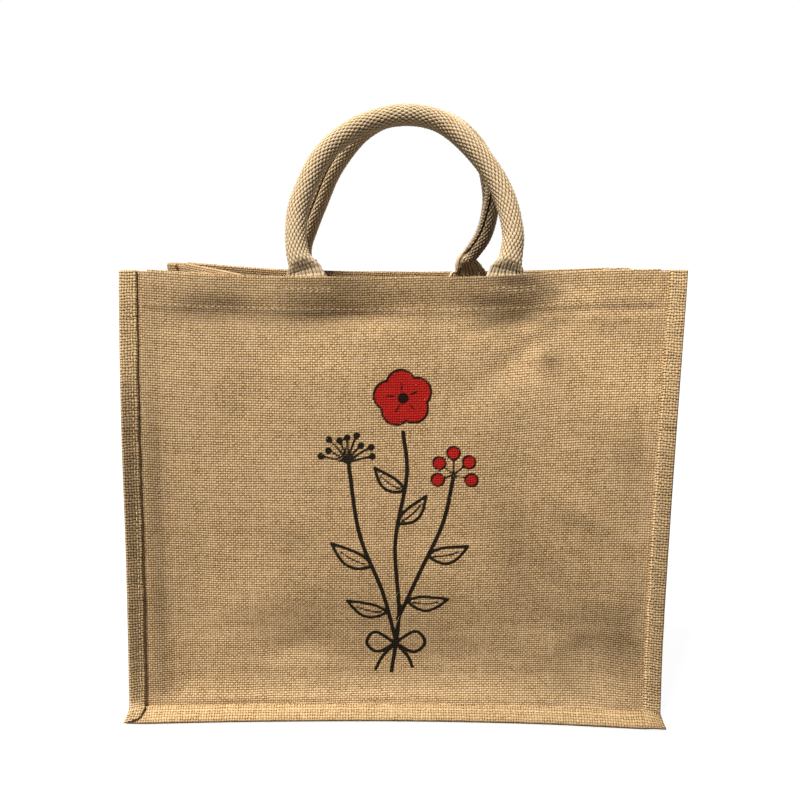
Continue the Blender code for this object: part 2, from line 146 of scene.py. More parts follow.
# A handle's middle line: x, z.
FRONT_HANDLE = (
    (-0.0735, 0.3285),
    (-0.0735, 0.3440),
    (-0.0740, 0.3590),
    (-0.0760, 0.3660),
    (-0.0795, 0.3770),
    (-0.0803, 0.3965),
    (-0.0765, 0.4165),
    (-0.0612, 0.4480),
    (-0.0380, 0.4682),
    (-0.0110, 0.4785),
    (0.0150, 0.4795),
    (0.0375, 0.4710),
    (0.0620, 0.4475),
    (0.0788, 0.4205),
    (0.0860, 0.3925),
    (0.0850, 0.3760),
    (0.0825, 0.3650),
    (0.0815, 0.3590),
    (0.0812, 0.3440),
    (0.0810, 0.3285),
)
BACK_HANDLE = (
    (-0.0850, 0.3285),
    (-0.0850, 0.3440),
    (-0.0855, 0.3590),
    (-0.0885, 0.3660),
    (-0.0882, 0.3800),
    (-0.0832, 0.3940),
    (-0.0725, 0.4180),
    (-0.0590, 0.4455),
    (-0.0375, 0.4720),
    (-0.0150, 0.4860),
    (0.0080, 0.4900),
    (0.0380, 0.4850),
    (0.0570, 0.4738),
    (0.0720, 0.4550),
    (0.0795, 0.4280),
    (0.0795, 0.4090),
    (0.0750, 0.3900),
    (0.0660, 0.3750),
    (0.0592, 0.3670),
    (0.0612, 0.3590),
    (0.0628, 0.3440),
    (0.0628, 0.3285),
)
# Its section: height over the rim, width, thickness, and squareness.
FRONT_SECTION = (
    (-0.0300, 0.0310, 0.0026, 7),
    (0.0000, 0.0308, 0.0028, 7),
    (0.0045, 0.0268, 0.0038, 6),
    (0.0085, 0.0226, 0.0090, 3.4),
    (0.0125, 0.0186, 0.0140, 2.5),
    (0.0200, 0.0170, 0.0155, 2.1),
    (0.0300, 0.0162, 0.0165, 2),
)
BACK_SECTION = (
    (-0.0300, 0.0370, 0.0026, 7),
    (-0.0055, 0.0365, 0.0030, 7),
    (0.0005, 0.0300, 0.0040, 6),
    (0.0055, 0.0215, 0.0080, 3),
    (0.0110, 0.0145, 0.0135, 2.2),
    (0.0320, 0.0148, 0.0165, 2),
)
BACK_LEFT_SECTION = (
    (-0.0300, 0.0360, 0.0026, 7),
    (-0.0060, 0.0350, 0.0028, 7),
    (-0.0010, 0.0280, 0.0030, 7),
    (0.0040, 0.0210, 0.0060, 4),
    (0.0090, 0.0155, 0.0130, 2.4),
    (0.0300, 0.0152, 0.0165, 2),
)
HANDLE_RIM = 0.3570
HANDLE_LEAN = 0.25
FOOT_CLEAR = 0.0004

NEAR = 0.01  # a small step, as a share, for slopes and directions


def between(low, high, share):
    return low + (high - low) * share


def smooth(share):
    share = np.clip(share, 0.0, 1.0)
    return share * share * (3.0 - 2.0 * share)


def read(table, at, column):
    """A smooth curve through one column of a table, over the table's first column."""
    keys = np.array([row[0] for row in table])
    values = np.array([row[column] for row in table], float)
    slopes = np.empty_like(values)
    slopes[1:-1] = (values[2:] - values[:-2]) / (keys[2:] - keys[:-2])
    slopes[0] = (values[1] - values[0]) / (keys[1] - keys[0])
    slopes[-1] = (values[-1] - values[-2]) / (keys[-1] - keys[-2])
    at = np.clip(at, keys[0], keys[-1])
    i = np.clip(np.searchsorted(keys, at, side="right") - 1, 0, len(keys) - 2)
    step = keys[i + 1] - keys[i]
    t = (at - keys[i]) / step
    rest = 1 - t
    ends = values[i] * (1 + 2 * t) * rest**2 + values[i + 1] * t**2 * (3 - 2 * t)
    return ends + step * t * rest * (slopes[i] * rest - slopes[i + 1] * t)


def unit(vectors):
    return vectors / np.linalg.norm(vectors, axis=-1, keepdims=True)


def stack(*parts):
    return np.stack(np.broadcast_arrays(*parts), axis=-1)


def uneven(a, b, size, seed):
    """A smooth random height, about -1 to 1, over two coordinates in metres."""
    draw = np.random.RandomState(seed)
    total = 0.0
    for octave in range(3):
        wave = size / 1.9**octave
        for _ in range(4):
            turn = draw.uniform(0, 2 * math.pi)
            start = draw.uniform(0, 2 * math.pi)
            pace = draw.uniform(0.7, 1.3) * 2 * math.pi / wave
            along = a * math.cos(turn) + b * math.sin(turn)
            total = total + np.sin(along * pace + start) / 1.7**octave
    return total / 4.0


def running_total(steps):
    """Nought, then the sum so far after each step."""
    return np.concatenate(([0.0], np.cumsum(steps)))


def numbered(points):
    """A table of points over their own numbers, for read."""
    return [(k, *point) for k, point in enumerate(points)]


def relief(x, z, spots):
    """The sum of soft oval spots, each with its place, size, turn and strength."""
    total = 0.0
    for middle_x, middle_z, length, width, turn, strength in spots:
        cosine = math.cos(math.radians(turn))
        sine = math.sin(math.radians(turn))
        along = (x - middle_x) * cosine + (z - middle_z) * sine
        aside = (z - middle_z) * cosine - (x - middle_x) * sine
        total = total + strength * np.exp(-((along / length) ** 2) - (aside / width) ** 2)
    return total


def puckers(at, pitch, drift, sway, seed):
    """Small gathers along a seam, -1 to 1, unevenly spaced."""
    return np.sin(at / pitch + sway * np.sin(at / drift + seed))


def past_rim(fold_rows):
    """How far past the rim each row of a hem lies: around the fold, then down."""
    turned = FOLD_RADIUS * math.pi
    fold = turned * np.arange(1, fold_rows + 1) / fold_rows
    return np.concatenate((fold, turned + HEM * np.arange(1, 9) / 8))


def over_the_fold(past):
    """Where a hem lies past the rim: the height up the cloth beside it, how far in it
    has turned, and how far it rises."""
    turn = np.minimum(past / FOLD_RADIUS, math.pi)
    below = np.maximum(0.0, past - FOLD_RADIUS * math.pi)
    return 1 - below / SIDE_LENGTH, FOLD_RADIUS * (1 - np.cos(turn)), FOLD_RADIUS * np.sin(turn)


class Panel:
    """The middle surface of a front or back panel, with the flange around it, as in
    the CAD part: across and up run from 0 to 1 between the seams."""

    def __init__(self, facing, sides, rim, foot, folds, creases, seed):
        self.facing = facing
        self.sides = sides
        self.rim = rim
        self.foot = foot
        self.folds = folds
        self.creases = creases
        self.seed = seed

    def body(self, across, up):
        """A place between the seams."""
        level = between(SEAM_HEIGHT, RIM_HEIGHT, up)
        x = between(read(self.sides, level, 1), read(self.sides, level, 2), across)
        z = between(SEAM_HEIGHT, read(self.rim, x, 1), up)
        depth = np.sqrt(GUSSET_HALF**2 - (PINCH * up) ** 2)
        depth = depth + (read(self.foot, x, 1) - GUSSET_HALF) * (1 - up) ** 2
        calm = smooth(across / CALM_AT_SIDES) * smooth((1 - across) / CALM_AT_SIDES)
        calm = calm * smooth(up / CALM_AT_FOOT)
        depth = depth + calm * relief(x, z, self.folds)
        return stack(x, self.facing * (depth + self.fine(across, up, x, z)), z)

    def fine(self, across, up, x, z):
        """What the solids leave out: creases, puckers at the seams, the tuck over the
        foot and the hem's edge."""
        from_side = np.minimum(across, 1 - across)
        seam = smooth(from_side / 0.02) * smooth(up / 0.02)
        low = relief(x, z, self.creases) * seam
        low = low + 0.00045 * uneven(x, z, 0.06, self.seed) * seam
        at_sides = 0.0006 * np.exp(-from_side / 0.035)
        low = low + at_sides * puckers(z, 0.0165, 0.031, 1.5, self.seed) * seam
        at_foot = 0.0005 * np.exp(-up / 0.03)
        low = low + at_foot * puckers(x, 0.015, 0.037, 1.7, self.seed) * seam
        above_foot = smooth((z - SEAM_HEIGHT) / 0.028) * (1 - smooth((z - 0.052) / 0.15))
        low = low - FOOT_TUCK * above_foot * smooth(from_side / 0.10)
        under_hem = smooth((read(self.rim, x, 1) - HEM - z) / 0.0035 + 0.5)
        return low + 0.0006 * (1 - under_hem) * seam

    def point(self, across, up):
        """A place on the panel or, past its seams, in its flange."""
        inner = self.body(np.clip(across, 0.0, 1.0), np.clip(up, 0.0, 1.0))
        aside = np.maximum(np.maximum(-across, across - 1.0), 0.0)
        below = np.maximum(-up, 0.0)
        way = np.where(across > 0.5, 1.0, -1.0)
        left_turn = read(self.sides, inner[..., 2], 3)
        right_turn = read(self.sides, inner[..., 2], 4)
        turn = np.radians(np.where(way > 0, right_turn, left_turn))
        out = stack(way * np.cos(turn), self.facing * np.sin(turn), 0.0)
        down = np.array((0, self.facing * math.sin(FOOT_TILT), -math.cos(FOOT_TILT)))
        flare = stack(way * CORNER_FLARE, -self.facing * CORNER_BACK, 0.0)
        spread = (out * aside[..., None] + down * below[..., None]) * FLANGE
        return inner + spread + flare * (aside * below)[..., None]

    def outward(self, across, up):
        """The way out of the bag, square to the cloth."""
        over = self.point(across + NEAR, up) - self.point(across - NEAR, up)
        top = np.minimum(1.0, up + NEAR)
        rise = self.point(across, top) - self.point(across, up - NEAR)
        return unit(np.cross(over, rise)) * -self.facing

    def hemmed(self, across, past):
        """A place past the rim: over the fold, then down the inside."""
        up, inward, rise = over_the_fold(past)
        over = self.outward(across, up) * -inward[..., None]
        return self.point(across, up) + over + stack(0.0, 0.0, rise)

    def in_flange(self, edge, along, out, height, eased=False):
        """A place in the flange: out is 0 at the seam and 1 at the outer edge, and
        height counts from the panel's own layer away from the bag. Eased is for a strip
        that runs down past the corner."""
        along, out, height = np.broadcast_arrays(along, out, height)
        past_seam = np.maximum(out, 2 * NEAR)
        length = SIDE_LENGTH if edge == "foot" else BASE_LENGTH
        out = np.where(out < 0, out * FLANGE / length, out)
        if edge == "foot":
            normal = self.outward(along, -past_seam)
            return self.point(along, -out) + normal * height[..., None]
        seam, way = (1, 1) if edge == "right" else (0, -1)
        normal = self.outward(seam + way * past_seam, along)
        if eased:
            above = self.outward(seam + way * past_seam, np.maximum(along, NEAR))
            normal = unit(between(above, normal, smooth((-along - 0.05) / 0.35)[..., None]))
        return self.point(seam + way * out, along) + normal * height[..., None]


# Creases, in the columns of the folds above
FRONT_CREASES = (
    (0.118, 0.219, 0.036, 0.0085, 128, -0.0018),
    (0.184, 0.244, 0.026, 0.0070, 100, -0.0012),
    (0.105, 0.129, 0.042, 0.0130, 140, -0.0018),
    (0.140, 0.177, 0.032, 0.0090, 150, 0.0013),
    (0.160, 0.062, 0.032, 0.0150, 20, -0.0030),
    (-0.078, 0.063, 0.030, 0.0120, 8, -0.0026),
    (-0.184, 0.117, 0.050, 0.0060, 92, -0.0010),
    (-0.113, 0.265, 0.040, 0.0140, 60, -0.0010),
    (0.097, 0.303, 0.036, 0.0080, 35, -0.0017),
    (0.071, 0.320, 0.028, 0.0055, 20, -0.0012),
    (0.132, 0.350, 0.020, 0.0050, 160, -0.0007),
    (-0.036, 0.3255, 0.030, 0.0095, 4, -0.0046),
    (-0.142, 0.3320, 0.030, 0.0085, 176, -0.0030),
    (0.084, 0.3320, 0.030, 0.0085, 174, -0.0034),
    (0.172, 0.3330, 0.036, 0.0060, 2, -0.0014),
)
BACK_CREASES = (
    (0.120, 0.230, 0.036, 0.0060, 60, -0.0011),
    (-0.150, 0.130, 0.040, 0.0070, 120, -0.0010),
    (-0.050, 0.190, 0.030, 0.0060, 30, 0.0009),
    (0.030, 0.120, 0.036, 0.0080, 150, -0.0010),
    (0.060, 0.325, 0.032, 0.0055, 15, -0.0010),
    (-0.085, 0.322, 0.030, 0.0060, 170, -0.0010),
    (-0.120, 0.300, 0.030, 0.0080, 50, -0.0008),
)
# Painted shade and painted light on the cloth, in soft darker and lighter patches: x, z,
# half length, half width, turn in degrees, and how much darker.
FRONT_PAINTED_SHADE = (
    # around the hem
    (-0.150, 0.3280, 0.030, 0.0090, 175, 0.22),
    (-0.125, 0.3310, 0.055, 0.0095, 0, 0.13),
    (-0.107, 0.3480, 0.014, 0.0070, 0, -0.14),
    (-0.090, 0.3530, 0.070, 0.0080, 0, 0.10),
    (-0.078, 0.3370, 0.012, 0.0060, 0, 0.12),
    (-0.070, 0.3270, 0.036, 0.0080, 2, 0.18),
    (-0.055, 0.3395, 0.024, 0.0085, 4, 0.24),
    (-0.044, 0.3165, 0.022, 0.0060, 0, 0.14),
    (-0.040, 0.3545, 0.030, 0.0080, 0, 0.20),
    (0.000, 0.3470, 0.260, 0.0120, 0, 0.15),
    (0.020, 0.3262, 0.190, 0.0056, 0, 0.14),
    (0.044, 0.3165, 0.014, 0.0060, 0, -0.10),
    (0.045, 0.3580, 0.030, 0.0060, 0, 0.20),
    (0.058, 0.3370, 0.030, 0.0060, 0, 0.12),
    (0.077, 0.3280, 0.026, 0.0110, 176, 0.22),
    (0.078, 0.3165, 0.014, 0.0060, 0, 0.10),
    (0.084, 0.3262, 0.030, 0.0070, 0, 0.14),
    (0.087, 0.3560, 0.022, 0.0080, 0, 0.30),
    (0.095, 0.3280, 0.012, 0.0070, 0, 0.24),
    (0.095, 0.3570, 0.025, 0.0060, 0, 0.12),
    (0.104, 0.3420, 0.020, 0.0070, 178, 0.18),
    (0.108, 0.3480, 0.020, 0.0060, 0, 0.14),
    (0.130, 0.3330, 0.020, 0.0090, 0, -0.12),
    (0.130, 0.3370, 0.022, 0.0056, 0, -0.30),
    (0.140, 0.3470, 0.024, 0.0100, 0, -0.36),
    (0.158, 0.3215, 0.018, 0.0070, 0, 0.14),
    (0.190, 0.3460, 0.026, 0.0110, 0, -0.16),
    # upper cloth
    (-0.188, 0.2200, 0.050, 0.0120, 90, 0.10),
    (-0.070, 0.2950, 0.060, 0.0150, 0, -0.12),
    (0.078, 0.3055, 0.012, 0.0060, 0, -0.14),
    (0.096, 0.2950, 0.009, 0.0080, 0, 0.28),
    (0.098, 0.3040, 0.022, 0.0130, 90, -0.34),
    (0.112, 0.2940, 0.010, 0.0080, 0, 0.34),
    (0.112, 0.3055, 0.012, 0.0060, 0, 0.10),
    (0.150, 0.2850, 0.030, 0.0200, 90, -0.14),
    (0.180, 0.2300, 0.026, 0.0120, 90, 0.18),
    (0.180, 0.2700, 0.044, 0.0200, 90, -0.20),
    (0.185, 0.2000, 0.050, 0.0500, 90, 0.08),
    # lower cloth
    (-0.191, 0.1700, 0.150, 0.0070, 90, 0.22),
    (-0.110, 0.1080, 0.046, 0.0260, 0, -0.24),
    (-0.085, 0.1500, 0.016, 0.0140, 0, 0.12),
    (0.088, 0.1450, 0.050, 0.0140, 90, 0.10),
    (0.110, 0.1060, 0.040, 0.0080, 135, 0.14),
    (0.110, 0.1450, 0.060, 0.0250, 130, 0.10),
    (0.160, 0.1080, 0.018, 0.0060, 0, -0.16),
    (0.176, 0.0980, 0.018, 0.0240, 0, 0.10),
    (0.186, 0.1250, 0.012, 0.0300, 0, 0.12),
    # over the foot
    (-0.193, 0.0800, 0.008, 0.0400, 0, 0.12),
    (-0.185, 0.0200, 0.022, 0.0060, 0, -0.14),
    (-0.155, 0.0680, 0.044, 0.0220, 0, -0.18),
    (-0.125, 0.0880, 0.030, 0.0200, 0, -0.10),
    (-0.072, 0.0880, 0.016, 0.0120, 20, 0.14),
    (-0.060, 0.0200, 0.170, 0.0055, 0, -0.26),
    (-0.050, 0.0450, 0.190, 0.0080, 0, -0.16),
    (0.132, 0.0680, 0.026, 0.0070, 0, -0.20),
    (0.135, 0.0250, 0.045, 0.0090, 0, 0.17),
    (0.135, 0.0310, 0.020, 0.0060, 0, 0.09),
    (0.140, 0.0420, 0.040, 0.0100, 0, 0.18),
    (0.148, 0.0500, 0.034, 0.0120, 0, 0.10),
    (0.148, 0.0780, 0.028, 0.0080, 0, -0.20),
    (0.172, 0.0740, 0.030, 0.0300, 0, 0.22),
    (0.180, 0.0620, 0.024, 0.0180, 0, 0.20),
)
# Painted shade and painted light on the back panel, in the same columns.
BACK_PAINTED_SHADE = (
    (0.080, 0.3330, 0.040, 0.0090, 4, 0.22),
    (-0.110, 0.3300, 0.034, 0.0080, 176, 0.20),
    (0.140, 0.2000, 0.080, 0.0400, 100, 0.12),
    (-0.060, 0.1100, 0.060, 0.0300, 30, 0.12),
    (-0.120, 0.0600, 0.030, 0.0200, 0, 0.16),
    (0.060, 0.2800, 0.070, 0.0200, 10, -0.10),
)
# Painted shade laid over all the cloth, which the lighter patches lift: how much darker.
COMMON_SHADE = 0.26  # of all the cloth
DARKEST = 0.8

FRONT = Panel(-1, FRONT_SIDES, FRONT_RIM, FRONT_FOOT, FRONT_FOLDS, FRONT_CREASES, 3)
BACK = Panel(1, BACK_SIDES, BACK_RIM, BACK_FOOT, BACK_FOLDS, BACK_CREASES, 8)

CORNER_SHARE_ACROSS = CORNER_AT_SEAM / BASE_LENGTH
CORNER_SHARE_UP = CORNER_AT_SEAM / SIDE_LENGTH
BINDING_FOLD = LAYER * 1.5
FOLD_START = 1 - (BINDING_FOLD + CLOTH / 2) / FLANGE


def cloth_lengths(points):
    """How far each grid point lies along the cloth, across and up, in metres."""
    across = np.linalg.norm(np.diff(points, axis=1), axis=-1).mean(axis=0)
    up = np.linalg.norm(np.diff(points, axis=0), axis=-1).mean(axis=1)
    return stack(running_total(across)[None, :], running_total(up)[:, None])


def lengths_down(points):
    """How far down the cloth each grid point lies, measured in its own column."""
    steps = np.linalg.norm(np.diff(points[::-1], axis=0), axis=-1)
    return np.concatenate((0.0 * steps[:1], np.cumsum(steps, axis=0)))[::-1]


def quad_piece(name, places, quads, threads=None):
    """A piece of four-sided faces over a list of places. Threads are the places'
    thread coordinates, stored as UV."""
    mesh = bpy.data.meshes.new(name)
    mesh.vertices.add(len(places))
    mesh.vertices.foreach_set("co", (places + CENTRED).astype(np.float32).ravel())
    mesh.loops.add(quads.size)
    mesh.loops.foreach_set("vertex_index", quads.astype(np.int32).ravel())
    mesh.polygons.add(len(quads))
    mesh.polygons.foreach_set("loop_start", np.arange(0, quads.size, 4, dtype=np.int32))
    mesh.update(calc_edges=True)
    if threads is not None:
        layer = mesh.uv_layers.new(name="threads")
        layer.data.foreach_set("uv", threads[quads.ravel()].astype(np.float32).ravel())
    mesh.validate()
    mesh.shade_smooth()
    piece = bpy.data.objects.new(name, mesh)
    bpy.context.scene.collection.objects.link(piece)
    return piece


def grid_piece(name, points, threads, painted, keep=None, flip=False):
    """A piece over rows and columns of points. Keep marks the faces that are made, and
    painted holds the numbers that its materials read at each point."""
    shape = points.shape[:2]
    index = np.arange(points.size // 3).reshape(shape)
    a = index[:-1, :-1]
    b = index[:-1, 1:]
    c = index[1:, 1:]
    d = index[1:, :-1]
    quads = np.stack((d, c, b, a) if flip else (a, b, c, d), axis=-1)
    if keep is not None:
        quads = quads[keep]
    quads = quads.reshape(-1, 4)
    used = np.unique(quads)
    fresh = np.full(index.size, -1)
    fresh[used] = np.arange(len(used))
    places = points.reshape(-1, 3)[used]
    piece = quad_piece(name, places, fresh[quads], threads.reshape(-1, 2)[used])
    for layer, values in painted.items():
        stored = piece.data.attributes.new(layer, "FLOAT", "POINT")
        values = np.broadcast_to(values, shape).reshape(-1)[used]
        stored.data.foreach_set("value", values.astype(np.float32))
    return piece


def thicken(piece, inner_material=0):
    """Makes a surface a cloth with two faces and closed edges."""
    cloth = piece.modifiers.new("Cloth", "SOLIDIFY")
    cloth.thickness = CLOTH
    cloth.offset = 0.0
    cloth.use_quality_normals = True
    cloth.material_offset = inner_material


def steps_between(stops, spacing):
    """Even steps from stop to stop: stops are shares, spacing how far apart in each."""
    found = [stops[0]]
    for k in range(len(stops) - 1):
        count = max(1, round(abs(stops[k + 1] - stops[k]) / spacing[k]))
        found += list(np.linspace(stops[k], stops[k + 1], count + 1)[1:])
    return np.array(found)


PANEL_WIDTH = 0.400
PRINT_HALF = 0.068 / PANEL_WIDTH  # from the middle to where the finer points end
SIDE_STEP = 0.0034 / PANEL_WIDTH
FLANGE_STEP = 0.12
HEM_INSET = 0.004 / PANEL_WIDTH  # how far a hem stops short of the side seams


def panel_cloth(name, panel, print_step, look):
    """A panel with its flange and hem. Its points lie print_step apart where print may
    be, and look gives the numbers painted on them from their x and z."""
    across = steps_between(
        (-FOLD_START, 0.0, 0.5 - PRINT_HALF, 0.5 + PRINT_HALF, 1.0, 1 + FOLD_START),
        (FLANGE_STEP, SIDE_STEP, print_step / PANEL_WIDTH, SIDE_STEP, FLANGE_STEP),
    )
    up = steps_between(
        (-FOLD_START, 0.0, 0.05, 0.87, 1.0),
        (FLANGE_STEP, 0.0025 / SIDE_LENGTH, print_step / SIDE_LENGTH, 0.0016 / SIDE_LENGTH),
    )
    past = past_rim(8)
    outer = panel.point(across[None, :], up[:, None] + 0 * across[None, :])
    inner = panel.hemmed(across[None, :] + 0 * past[:, None], past[:, None] + 0 * across[None, :])
    points = np.concatenate((outer, inner))
    keep = np.ones((len(points) - 1, len(across) - 1), bool)
    keep[len(up) - 1 :, (across[:-1] < HEM_INSET) | (across[1:] > 1 - HEM_INSET)] = False
    threads = cloth_lengths(points)
    lean = 0.0035 * np.sin(threads[..., 0] / 0.11 + 1.0)
    threads = threads + stack(0.0 * lean, lean)
    painted = look(points[..., 0], points[..., 2])
    return grid_piece(name, points, threads, painted, keep, flip=panel.facing > 0)


def front_look(x, z):
    """The front panel's painted shade and painted light, and its ink."""
    black, red = flower_print(x * 1000, z * 1000)
    shade = COMMON_SHADE + relief(x, z, FRONT_PAINTED_SHADE)
    return {"shade": np.clip(shade, 0.0, DARKEST), "black_ink": black, "red_ink": red}


def back_look(x, z):
    """The back panel's painted shade and painted light; it bears no print."""
    shade = COMMON_SHADE + relief(x, z, BACK_PAINTED_SHADE)
    return {"shade": np.clip(shade, 0.0, DARKEST)}


def crease(share):
    """How deep a side is pinched in: 1 in its middle and 0 at the seams."""
    far = math.hypot(1, CREASE_ROUND) - CREASE_ROUND
    return 1 - (np.hypot(share, CREASE_ROUND) - CREASE_ROUND) / far


def base_height(share, at_seam):
    """The height of the bottom's cloth: flat on the floor, and rolled up to a seam."""
    return between(CLOTH / 2, at_seam, smooth((np.abs(share) - 1 + BASE_ROLL) / BASE_ROLL))


class Gusset:
    """The strip around the bag. share runs from -1 at the front seam to 1 at the back
    seam, and past those the strip's edges lie in the flanges."""

    def seam(self, edge, along, share, out=0.0):
        """A place beside a seam, in the gusset's own layer."""
        panel = FRONT if share < 0 else BACK
        return panel.in_flange(edge, along, out, -LAYER)

    def side(self, edge, up, share):
        """A place on the left or right side, pinched in along its middle."""
        up = np.asarray(up, float)
        if abs(share) > 1:
            return self.seam(edge, up, share, (abs(share) - 1) * FOLD_START)
        front = self.seam(edge, up, -1)
        back = self.seam(edge, up, 1)
        if abs(share) == 1:
            return front if share < 0 else back
        inward = 1 if edge == "left" else -1
        place = between(front, back, (share + 1) / 2)
        place[..., 0] += inward * PINCH * up * crease(share)
        radius = between(CORNER_AT_MIDDLE, CORNER_AT_SEAM, share**2)
        corner = np.array(0.0 if edge == "left" else 1.0)
        low = base_height(share, self.seam("foot", corner, -1)[..., 2]) + radius
        top = np.ones_like(up)
        high = between(
            self.seam(edge, top, -1)[..., 2], self.seam(edge, top, 1)[..., 2], (share + 1) / 2
        )
        high = high - CREASE_DIP * crease(share)
        place[..., 2] = between(low, high, (up - CORNER_SHARE_UP) / (1 - CORNER_SHARE_UP))
        calm = smooth((1 - abs(share)) / 0.12) * smooth(up / 0.08)
        wave = uneven(place[..., 2], place[..., 1], 0.07, 21 if edge == "left" else 34)
        ripple = np.sin(place[..., 2] / 0.016 + 3.0 * share) * math.exp(-(1 - abs(share)) / 0.12)
        place[..., 0] += (0.0011 * wave + 0.0007 * ripple) * calm
        return place

    def base(self, across, share):
        """A place on the bottom."""
        across = np.asarray(across, float)
        if abs(share) > 1:
            return self.seam("foot", across, share, (abs(share) - 1) * FOLD_START)
        front = self.seam("foot", across, -1)
        back = self.seam("foot", across, 1)
        place = between(front, back, (share + 1) / 2)
        place[..., 2] = base_height(share, place[..., 2])
        return place

    def corner(self, edge, turn, share):
        """A place on the bend from the bottom, at turn 1, up to a side, at 0."""
        turn = np.asarray(turn, float)
        share = max(-1.0, min(1.0, share))
        start = self.side(edge, np.array(CORNER_SHARE_UP), share)
        across = CORNER_SHARE_ACROSS if edge == "left" else 1 - CORNER_SHARE_ACROSS
        end = self.base(np.array(across), share)
        place = between(start, end, turn[..., None])
        place[..., 0] = between(start[0], end[0], 1 - np.cos(turn * math.pi / 2))
        place[..., 2] = between(end[2], start[2], 1 - np.sin(turn * math.pi / 2))
        return place

    def hemmed(self, edge, past, share):
        """A place past a side's top edge: over the fold, then down the inside."""
        up, inward, rise = over_the_fold(past)
        place = self.side(edge, up, share)
        behind = self.side(edge, up, min(1.0, share + NEAR))
        before = self.side(edge, up, max(-1.0, share - NEAR))
        upward = place - self.side(edge, up - NEAR, share)
        inner = unit(np.cross(behind - before, upward)) * (1 if edge == "left" else -1)
        return place + inner * inward[..., None] + stack(0.0, 0.0, rise)

    def line(self, share):
        """All the way round the bag, from the left hem to the right hem."""
        past = past_rim(6)
        ups = np.linspace(CORNER_SHARE_UP, 1.0, 90)
        acrosses = np.linspace(CORNER_SHARE_ACROSS, 1 - CORNER_SHARE_ACROSS, 100)
        turns = np.arange(1, 6) / 6
        parts = (
            self.hemmed("left", past[::-1], share),
            self.side("left", ups[::-1], share),
            self.corner("left", turns, share),
            self.base(acrosses, share),
            self.corner("right", turns[::-1], share),
            self.side("right", ups, share),
            self.hemmed("right", past, share),
        )
        return np.concatenate(parts), np.cumsum([len(part) for part in parts])


def gusset_cloth(name):
    """The gusset with its hems. Its edges stop short of the flanges at the hems and at
    the bottom corners, where the flange is cut."""
    gusset = Gusset()
    half = np.concatenate(
        (
            np.linspace(0.0, 0.12, 6),
            np.linspace(0.16, 0.96, 22),
            (1.0, 1.25, 1.5, 1.75, 2.0),
        )
    )
    shares = np.concatenate((-half[:0:-1], half))
    lines = [gusset.line(share) for share in shares]
    points = np.stack([line for line, _ in lines], axis=1)
    ends = lines[0][1]
    hems = np.ones(len(points) - 1, bool)
    hems[ends[0] : ends[5]] = False
    corners = np.zeros(len(points) - 1, bool)
    corners[ends[1] - 1 : ends[2] + 1] = True
    corners[ends[3] - 1 : ends[4] + 1] = True
    far = np.maximum(np.abs(shares[:-1]), np.abs(shares[1:]))
    keep = np.ones((len(points) - 1, len(shares) - 1), bool)
    keep[np.ix_(hems | corners, far > 1)] = False
    keep[np.ix_(hems, far > 0.93)] = False
    # The gusset gets only the painted shade laid over all the cloth.
    return grid_piece(name, points, cloth_lengths(points), {"shade": COMMON_SHADE}, keep)


def binding_section(roll):
    """Across a binding, from its turned-under edge over the outer edge to the back:
    how far out it lies, in shares of the flange, and its height over the panel."""
    under = LAYER - 0.0003
    top = under + 2 * roll
    start = 0.0014
    section = [(start + 0.0030, under), (start + 0.0016, under)]
    for k in range(7):
        angle = math.pi * (0.5 + k / 6)
        section.append((start + roll * math.cos(angle), under + roll - roll * math.sin(angle)))
    section += [
        (start + 0.0010, top + 0.0001),
        (start + 0.0018, top - 0.0003),
        (start + 0.0025, LAYER + 0.0004),
        (start + 0.0034, LAYER + 0.0001),
        (start + 0.0052, LAYER + 0.0002),
        (start + 0.0070, LAYER),
    ]
    for k in range(9):
        angle = math.pi * k / 8
        out = FOLD_START * FLANGE + BINDING_FOLD * math.sin(angle)
        section.append((out, -LAYER / 2 + BINDING_FOLD * math.cos(angle)))
    section += [(0.0084, -2 * LAYER), (0.0055, -2 * LAYER), (0.0028, -2 * LAYER)]
    return np.array([(out / FLANGE, height) for out, height in section])


# How far down the left strip reaches over the foot strip: share out, share down.
LAP = ((-0.2, 0.0), (0.0, 0.0), (0.22, 0.55), (0.5, 0.72), (0.9, 0.9), (1.0, 0.95), (1.3, 1.0))

# The strips' ends: the share of a strip that bends there, and how far past the corner
# it reaches, in shares of the flange.
LEFT_STRIP_END = (0.07, 0.3)
FOOT_STRIP_LEFT_END = (0.06, 0.86)
FOOT_STRIP_RIGHT_END = (0.06, 0.97)
RIGHT_STRIP_REACH = 0.78

# How much painted shade darkens the upright strips: share up, shade.
LEFT_SHADE = (
    (0.0, 0.05),
    (0.05, 0.22),
    (0.12, 0.46),
    (0.3, 0.52),
    (0.45, 0.60),
    (0.66, 0.58),
    (0.74, 0.40),
    (0.82, 0.12),
    (0.90, 0.22),
    (0.97, 0.06),
    (1.0, 0.0),
)
RIGHT_SHADE = (
    (0.0, 0.26),
    (0.1, 0.36),
    (0.3, 0.40),
    (0.6, 0.34),
    (0.72, 0.22),
    (0.85, 0.16),
    (1.0, 0.10),
)


def past_corner(from_end, share, reach):
    """How far towards the corner the rows of a strip's last share are moved."""
    return np.clip(1 - from_end / share, 0.0, 1.0) ** 2 * reach


def over_right_strip(along):
    """1 where the foot strip lies over the right one, and 0 along the foot."""
    return smooth((along - 0.97) / 0.09)


